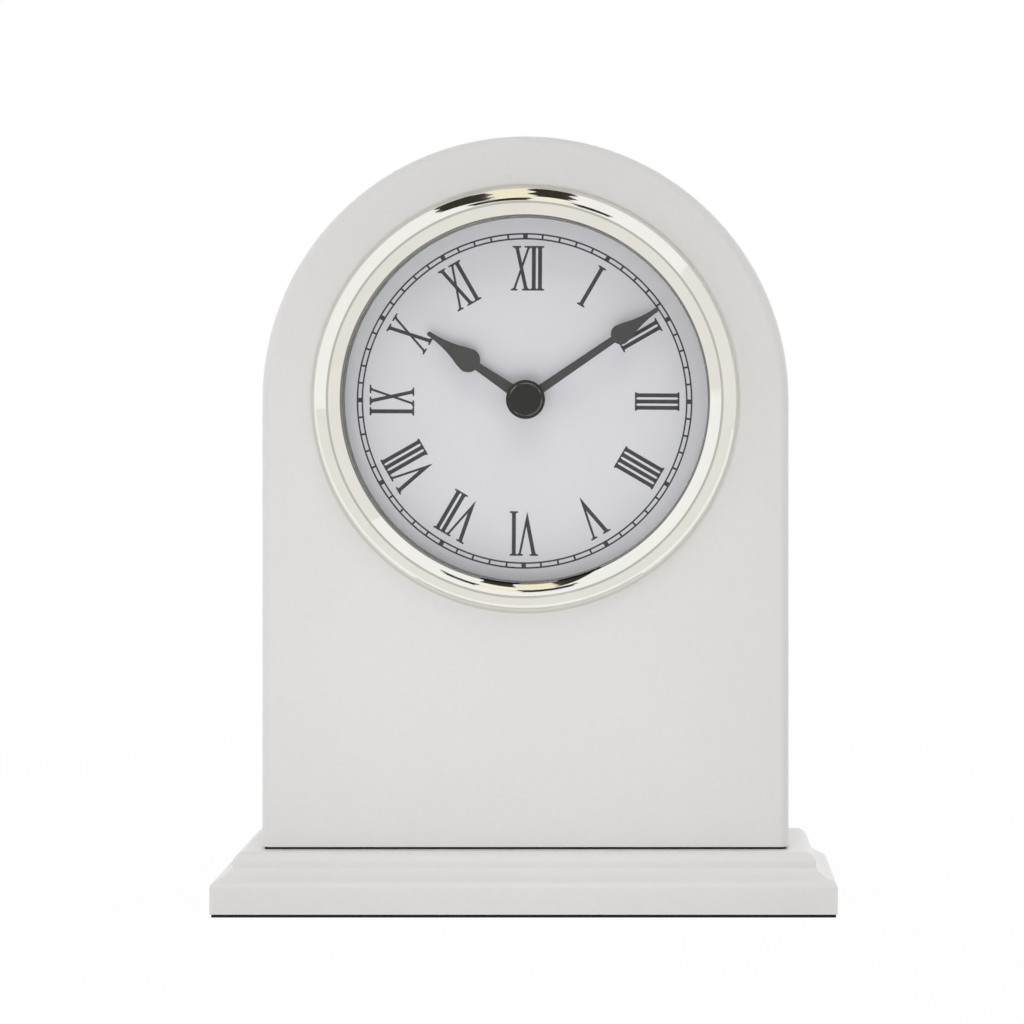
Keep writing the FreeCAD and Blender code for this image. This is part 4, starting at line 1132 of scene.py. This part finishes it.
    def numeral(self, hour: int, text: str) -> list[Outline]:
        """Place a numeral at its hour."""
        raised = [[(x, y + self.foot_radius) for x, y in outline] for outline in self.letters(text)]
        return [self.on_dial(outline, math.tau * hour / len(self.numerals)) for outline in raised]

    def ring(self, radius: float) -> list[Outline]:
        """Draw one line of the minute track as short pieces."""
        low, high = radius - self.track_line / 2, radius + self.track_line / 2
        half = math.pi / self.ring_steps
        piece = [(reach * math.sin(angle), reach * math.cos(angle))
                 for reach, angle in ((low, -half), (low, half), (high, half), (high, -half))]
        return [self.on_dial(piece, step * math.tau / self.ring_steps)
                for step in range(self.ring_steps)]

    def ticks(self) -> list[Outline]:
        """Draw the sixty marks between the lines, with a wide one at each hour."""
        drawn = []
        share = self.track_inner / self.track_outer
        per_hour = self.minutes // len(self.numerals)
        for minute in range(self.minutes):
            half = (self.tick_width if minute % per_hour else self.block_width) / 2
            mark = [(-half * share, self.track_inner), (half * share, self.track_inner),
                    (half, self.track_outer), (-half, self.track_outer)]
            drawn.append(self.on_dial(mark, math.tau * minute / self.minutes))
        return drawn

    def lay(self, name: str, outlines: Sequence[Outline]) -> bpy.types.Object:
        """Lay overlapping outlines on the dial as one thin film of ink.

        Args:
            name: The piece's name.
            outlines: Outlines across and up from the hands' axis.

        Returns:
            The piece.
        """
        outlines = [anticlockwise(outline) for outline in outlines]
        points = [Vector((x / MM, y / MM)) for outline in outlines for x, y in outline]
        loops, start = [], 0
        for outline in outlines:
            loops.append(list(range(start, start + len(outline))))
            start += len(outline)
        flat, _, triangles, _, _, sources = delaunay_2d_cdt(points, [], loops, 1, self.weld)
        face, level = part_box("dial_plate")[0].y, axis_height()
        rows = [face - self.ink, face + self.ink]
        corners = [(point.x * MM, row, point.y * MM + level) for row in rows for point in flat]
        count, faces, sides = len(flat), [], {}
        for triangle, covered in zip(triangles, sources):
            if not covered:
                continue
            a, b, c = (flat[index] for index in triangle)
            turned = (b - a).cross(c - a) > 0
            loop = tuple(triangle) if turned else tuple(reversed(triangle))
            faces += [loop, tuple(index + count for index in reversed(loop))]
            for first, second in zip(loop, loop[1:] + loop[:1]):
                if sides.pop((second, first), None) is None:
                    sides[(first, second)] = True
        faces += [(second, first, first + count, second + count) for first, second in sides]
        piece = add_piece(name, corners, faces, INK)
        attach(piece, "case")
        log.info("printed %s", name)
        return piece

    def build(self) -> None:
        """Print the numerals and the minute track."""
        for hour, text in enumerate(self.numerals):
            self.lay(f"numeral_{text}", self.numeral(hour, text))
        self.lay("minute_track", [*self.ring(self.track_outer), *self.ring(self.track_inner),
                                  *self.ticks()])


@dataclass
class Dial:
    """The dial plate, its print, and the nut and washers that hold the movement."""

    ink: DialPrint = field(default_factory=DialPrint)

    def dress(self) -> None:
        """Coat the plate, print it and finish the fixings."""
        dress(CoatedDial("dial_white"), "dial_plate")
        self.ink.build()
        dress(Rolled("brass_nut", shade(196, 160, 92), along=Axis.Y, fineness=4.0), "fixing_nut")
        dress(Rolled("steel_washer", shade(190, 190, 188), along=Axis.Y, fineness=4.0),
              "steel_washer")
        dress(RUBBER, "rubber_washer")


@dataclass
class Hands:
    """Both black hands and the cap over their middle."""

    def dress(self) -> None:
        """Lacquer the hands and mould the cap."""
        dress(LACQUER, "hour_hand", "minute_hand")
        dress(RimmedCap("cap_black"), "hand_cap")


@dataclass
class Movement:
    """The battery movement: its case, wheels, motor, board and contacts."""

    def dress(self) -> None:
        """Finish every piece of the movement."""
        dress(Moulded("black_plastic", shade(34, 34, 36), tooth_height=0.03 * MM),
              "movement_front_shell", "movement_back_shell", "setting_knob")
        dress(Moulded("grey_plastic", shade(92, 92, 94)), "movement_mid_plate")
        dress(Moulded("gear_plastic", shade(228, 226, 214), tooth=0.4 * MM,
                      tooth_height=0.01 * MM, roughness=0.24, glow=0.15),
              "hour_wheel", "motion_wheel", "centre_wheel", "third_wheel", "second_wheel",
              "intermediate_wheel", "rotor_pinion", "coil_bobbin")
        dress(Rolled("brass", shade(200, 164, 96), along=Axis.Y, fineness=4.0), "minute_arbor")
        dress(Sintered("magnet"), "rotor_magnet")
        dress(Rolled("soft_iron", shade(168, 168, 166)), "stator", "coil_core")
        dress(WoundCopper("copper"), "coil_winding")
        dress(CircuitBoard("board_green"), "circuit_board")
        dress(ResinDrop("chip_black"), "chip")
        dress(Rolled("crystal_can", shade(208, 208, 206)), "quartz_crystal")
        dress(Rolled("nickel_strip", shade(216, 214, 206), along=Axis.Z),
              "positive_contact", "negative_contact")


@dataclass
class Cell:
    """The standard cell in the movement's bay."""

    def dress(self) -> None:
        """Wrap the cell in plain printed film."""
        low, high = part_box("battery_cell")
        dress(CellSkin("cell_wrap", low.x, high.x), "battery_cell")


@dataclass
class Flag:
    """A card of one plain tone near the clock, seen only in its metal and glass."""

    name: str
    corner: Place
    side: Place
    rise: Place
    tone: Colour = shade(58, 54, 44)
    sway: float = 0.0
    waves: float = 2.5
    steps: int = 24
    unseen_by: tuple[str, ...] = ("camera", "diffuse", "transmission", "volume_scatter", "shadow")

    def build(self) -> None:
        """Hang the card by its corner, with its long edges swaying as a draped cloth's do."""
        corner, side, rise = Vector(self.corner), Vector(self.side), Vector(self.rise)
        left, right = [], []
        for step in range(self.steps + 1):
            along = step / self.steps
            lean = side.normalized() * self.sway * math.sin(math.tau * self.waves * along)
            left.append(corner + rise * along + lean)
            right.append(corner + rise * along + side - lean)
        card = add_piece(self.name, left + right[::-1], [range(2 * len(left))],
                         PlainLight(self.name, self.tone))
        for ray in self.unseen_by:
            setattr(card, f"visible_{ray}", False)


@dataclass
class Lamp:
    """A square soft lamp that looks at the clock and isn't seen in its metal."""

    name: str
    place: Place
    size: float
    power: float

    def build(self, target: Vector) -> None:
        """Hang the lamp and turn it to a point."""
        data = bpy.data.lights.new(self.name, "AREA")
        data.size = self.size
        data.energy = self.power
        lamp = bpy.data.objects.new(self.name, data)
        bpy.context.scene.collection.objects.link(lamp)
        lamp.location = self.place
        lamp.rotation_euler = (target - Vector(self.place)).to_track_quat("-Z", "Y").to_euler()
        lamp.visible_glossy = False


@dataclass
class Studio:
    """A white room: floor, sky, soft lamps, and cards that only metal and glass show.

    Six cards hang over the clock, for the bezel's dark and warm reflections. One lies on the
    floor in front, one hangs behind the camera, and one stands to the right.
    """

    floor_half: float = 6.0
    ambient: float = 0.35
    lamps: tuple[Lamp, ...] = (
        Lamp("front_lamp", (-0.3, -1.9, 0.25), 1.4, 0.5),
        Lamp("low_lamp", (-0.02, -0.28, 0.06), 0.15, 0.205),
        Lamp("left_lamp", (-1.4, -0.35, 0.25), 0.8, 3.6),
        Lamp("top_lamp", (0.1, -0.5, 1.7), 1.4, 12.5),
        Lamp("back_lamp", (0.3, 1.8, 0.9), 1.4, 5.0),
        Lamp("left_back_lamp", (-1.3, 0.7, 0.6), 0.8, 5.0),
        Lamp("right_back_lamp", (1.3, 0.7, 0.6), 0.8, 7.0),
    )
    flags: tuple[Flag, ...] = (
        Flag("left_flag", (-0.46, -0.5, 1.05), (0.27, -0.26, 0.0), (0.0, 0.8, 0.0), sway=0.02),
        Flag("right_flag", (0.0, -0.63, 1.05), (0.19, 0.0, 0.0), (0.0, 0.9, 0.0), sway=0.02),
        Flag("warm_card", (-0.19, -0.74, 1.06), (0.19, 0.0, 0.0), (0.0, 1.0, 0.0),
             shade(254, 246, 218)),
        Flag("left_front_flag", (-0.3, -0.97, 1.05), (0.28, 0.0, 0.0), (0.0, 0.18, 0.0),
             sway=0.015, waves=1.0),
        Flag("right_front_flag", (0.19, -0.97, 1.05), (0.2, 0.0, 0.0), (0.0, 0.18, 0.0),
             sway=0.015, waves=1.0),
        Flag("warm_front_card", (-0.02, -0.97, 1.06), (0.21, 0.0, 0.0), (0.0, 0.2, 0.0),
             shade(254, 248, 224)),
        Flag("warm_table", (-3.0, -4.0, 0.002), (6.0, 0.0, 0.0), (0.0, 3.95, 0.0),
             shade(240, 238, 233)),
        Flag("camera_cloth", (-0.27, -1.4, -0.05), (0.44, 0.0, 0.0), (0.0, 0.0, 0.4),
             shade(198, 196, 190)),
        Flag("grey_card", (0.9, -1.8, -0.2), (0.0, 2.4, 0.0), (0.0, 0.0, 1.1),
             shade(241, 239, 236)),
    )

    def build_floor(self) -> None:
        """Lay the floor, square round the clock."""
        half = self.floor_half
        corners = [(-half, -half, 0), (half, -half, 0), (half, half, 0), (-half, half, 0)]
        floor = add_piece("floor", corners, [(0, 1, 2, 3)], WhiteFloor("floor_white"))

    def build_sky(self) -> None:
        """Fill the room with even light, and show it white."""
        world = bpy.data.worlds.new("room")
        bpy.context.scene.world = world
        world.use_nodes = True
        shader = Shader(world.node_tree)
        even, white = (shader.add("ShaderNodeBackground", None, {"Color": WHITE, "Strength": power})
                       for power in (self.ambient, 1.0))
        shader.finish(shader.blend(shader.plain_rays(), even, white), world=True)

    def build(self) -> None:
        """Set up the room, its lamps and its cards."""
        self.build_floor()
        self.build_sky()
        target = Vector((0.0, 0.0, axis_height()))
        for lamp in self.lamps:
            lamp.build(target)
        for flag in self.flags:
            flag.build()
        bpy.context.scene.view_settings.view_transform = "Standard"
        log.info("studio ready")


@dataclass
class PhotographCamera:
    """The camera of the photograph: level with the hands, a little right, square to the dial.

    The image's size, the focal length and the two places where the level line and the middle
    fall are in pixels of the photograph.
    """

    image: float = 1024.0
    focal: float = 3731.0
    level_pixel: float = 399.4
    middle_pixel: float = 653.2
    distance: float = 0.950
    across: float = 0.033
    sensor: float = 36.0
    nearest: float = 0.05
    farthest: float = 30.0

    def build(self) -> None:
        """Place the camera, with the shift that the photograph's framing needs."""
        data = bpy.data.cameras.new("photograph_camera")
        data.sensor_width = self.sensor
        data.lens = self.focal / self.image * self.sensor
        data.shift_x = (self.image / 2 - self.middle_pixel) / self.image
        data.shift_y = (self.level_pixel - self.image / 2) / self.image
        data.clip_start, data.clip_end = self.nearest, self.farthest
        camera = bpy.data.objects.new("photograph_camera", data)
        bpy.context.scene.collection.objects.link(camera)
        camera.location = (self.across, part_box("plinth")[0].y - self.distance, axis_height())
        camera.rotation_euler = (math.pi / 2, 0.0, 0.0)
        bpy.context.scene.camera = camera
        log.info("camera ready")


def main() -> None:
    """Build and dress the clock, then the studio and the camera."""
    logging.basicConfig(level=logging.INFO, format="%(message)s")
    for assembly in (Plinth(), ArchedCase(), GlazedBezel(), Dial(), Hands(), Movement(), Cell()):
        assembly.dress()
    Studio().build()
    PhotographCamera().build()


if __name__ == "__main__":
    main()
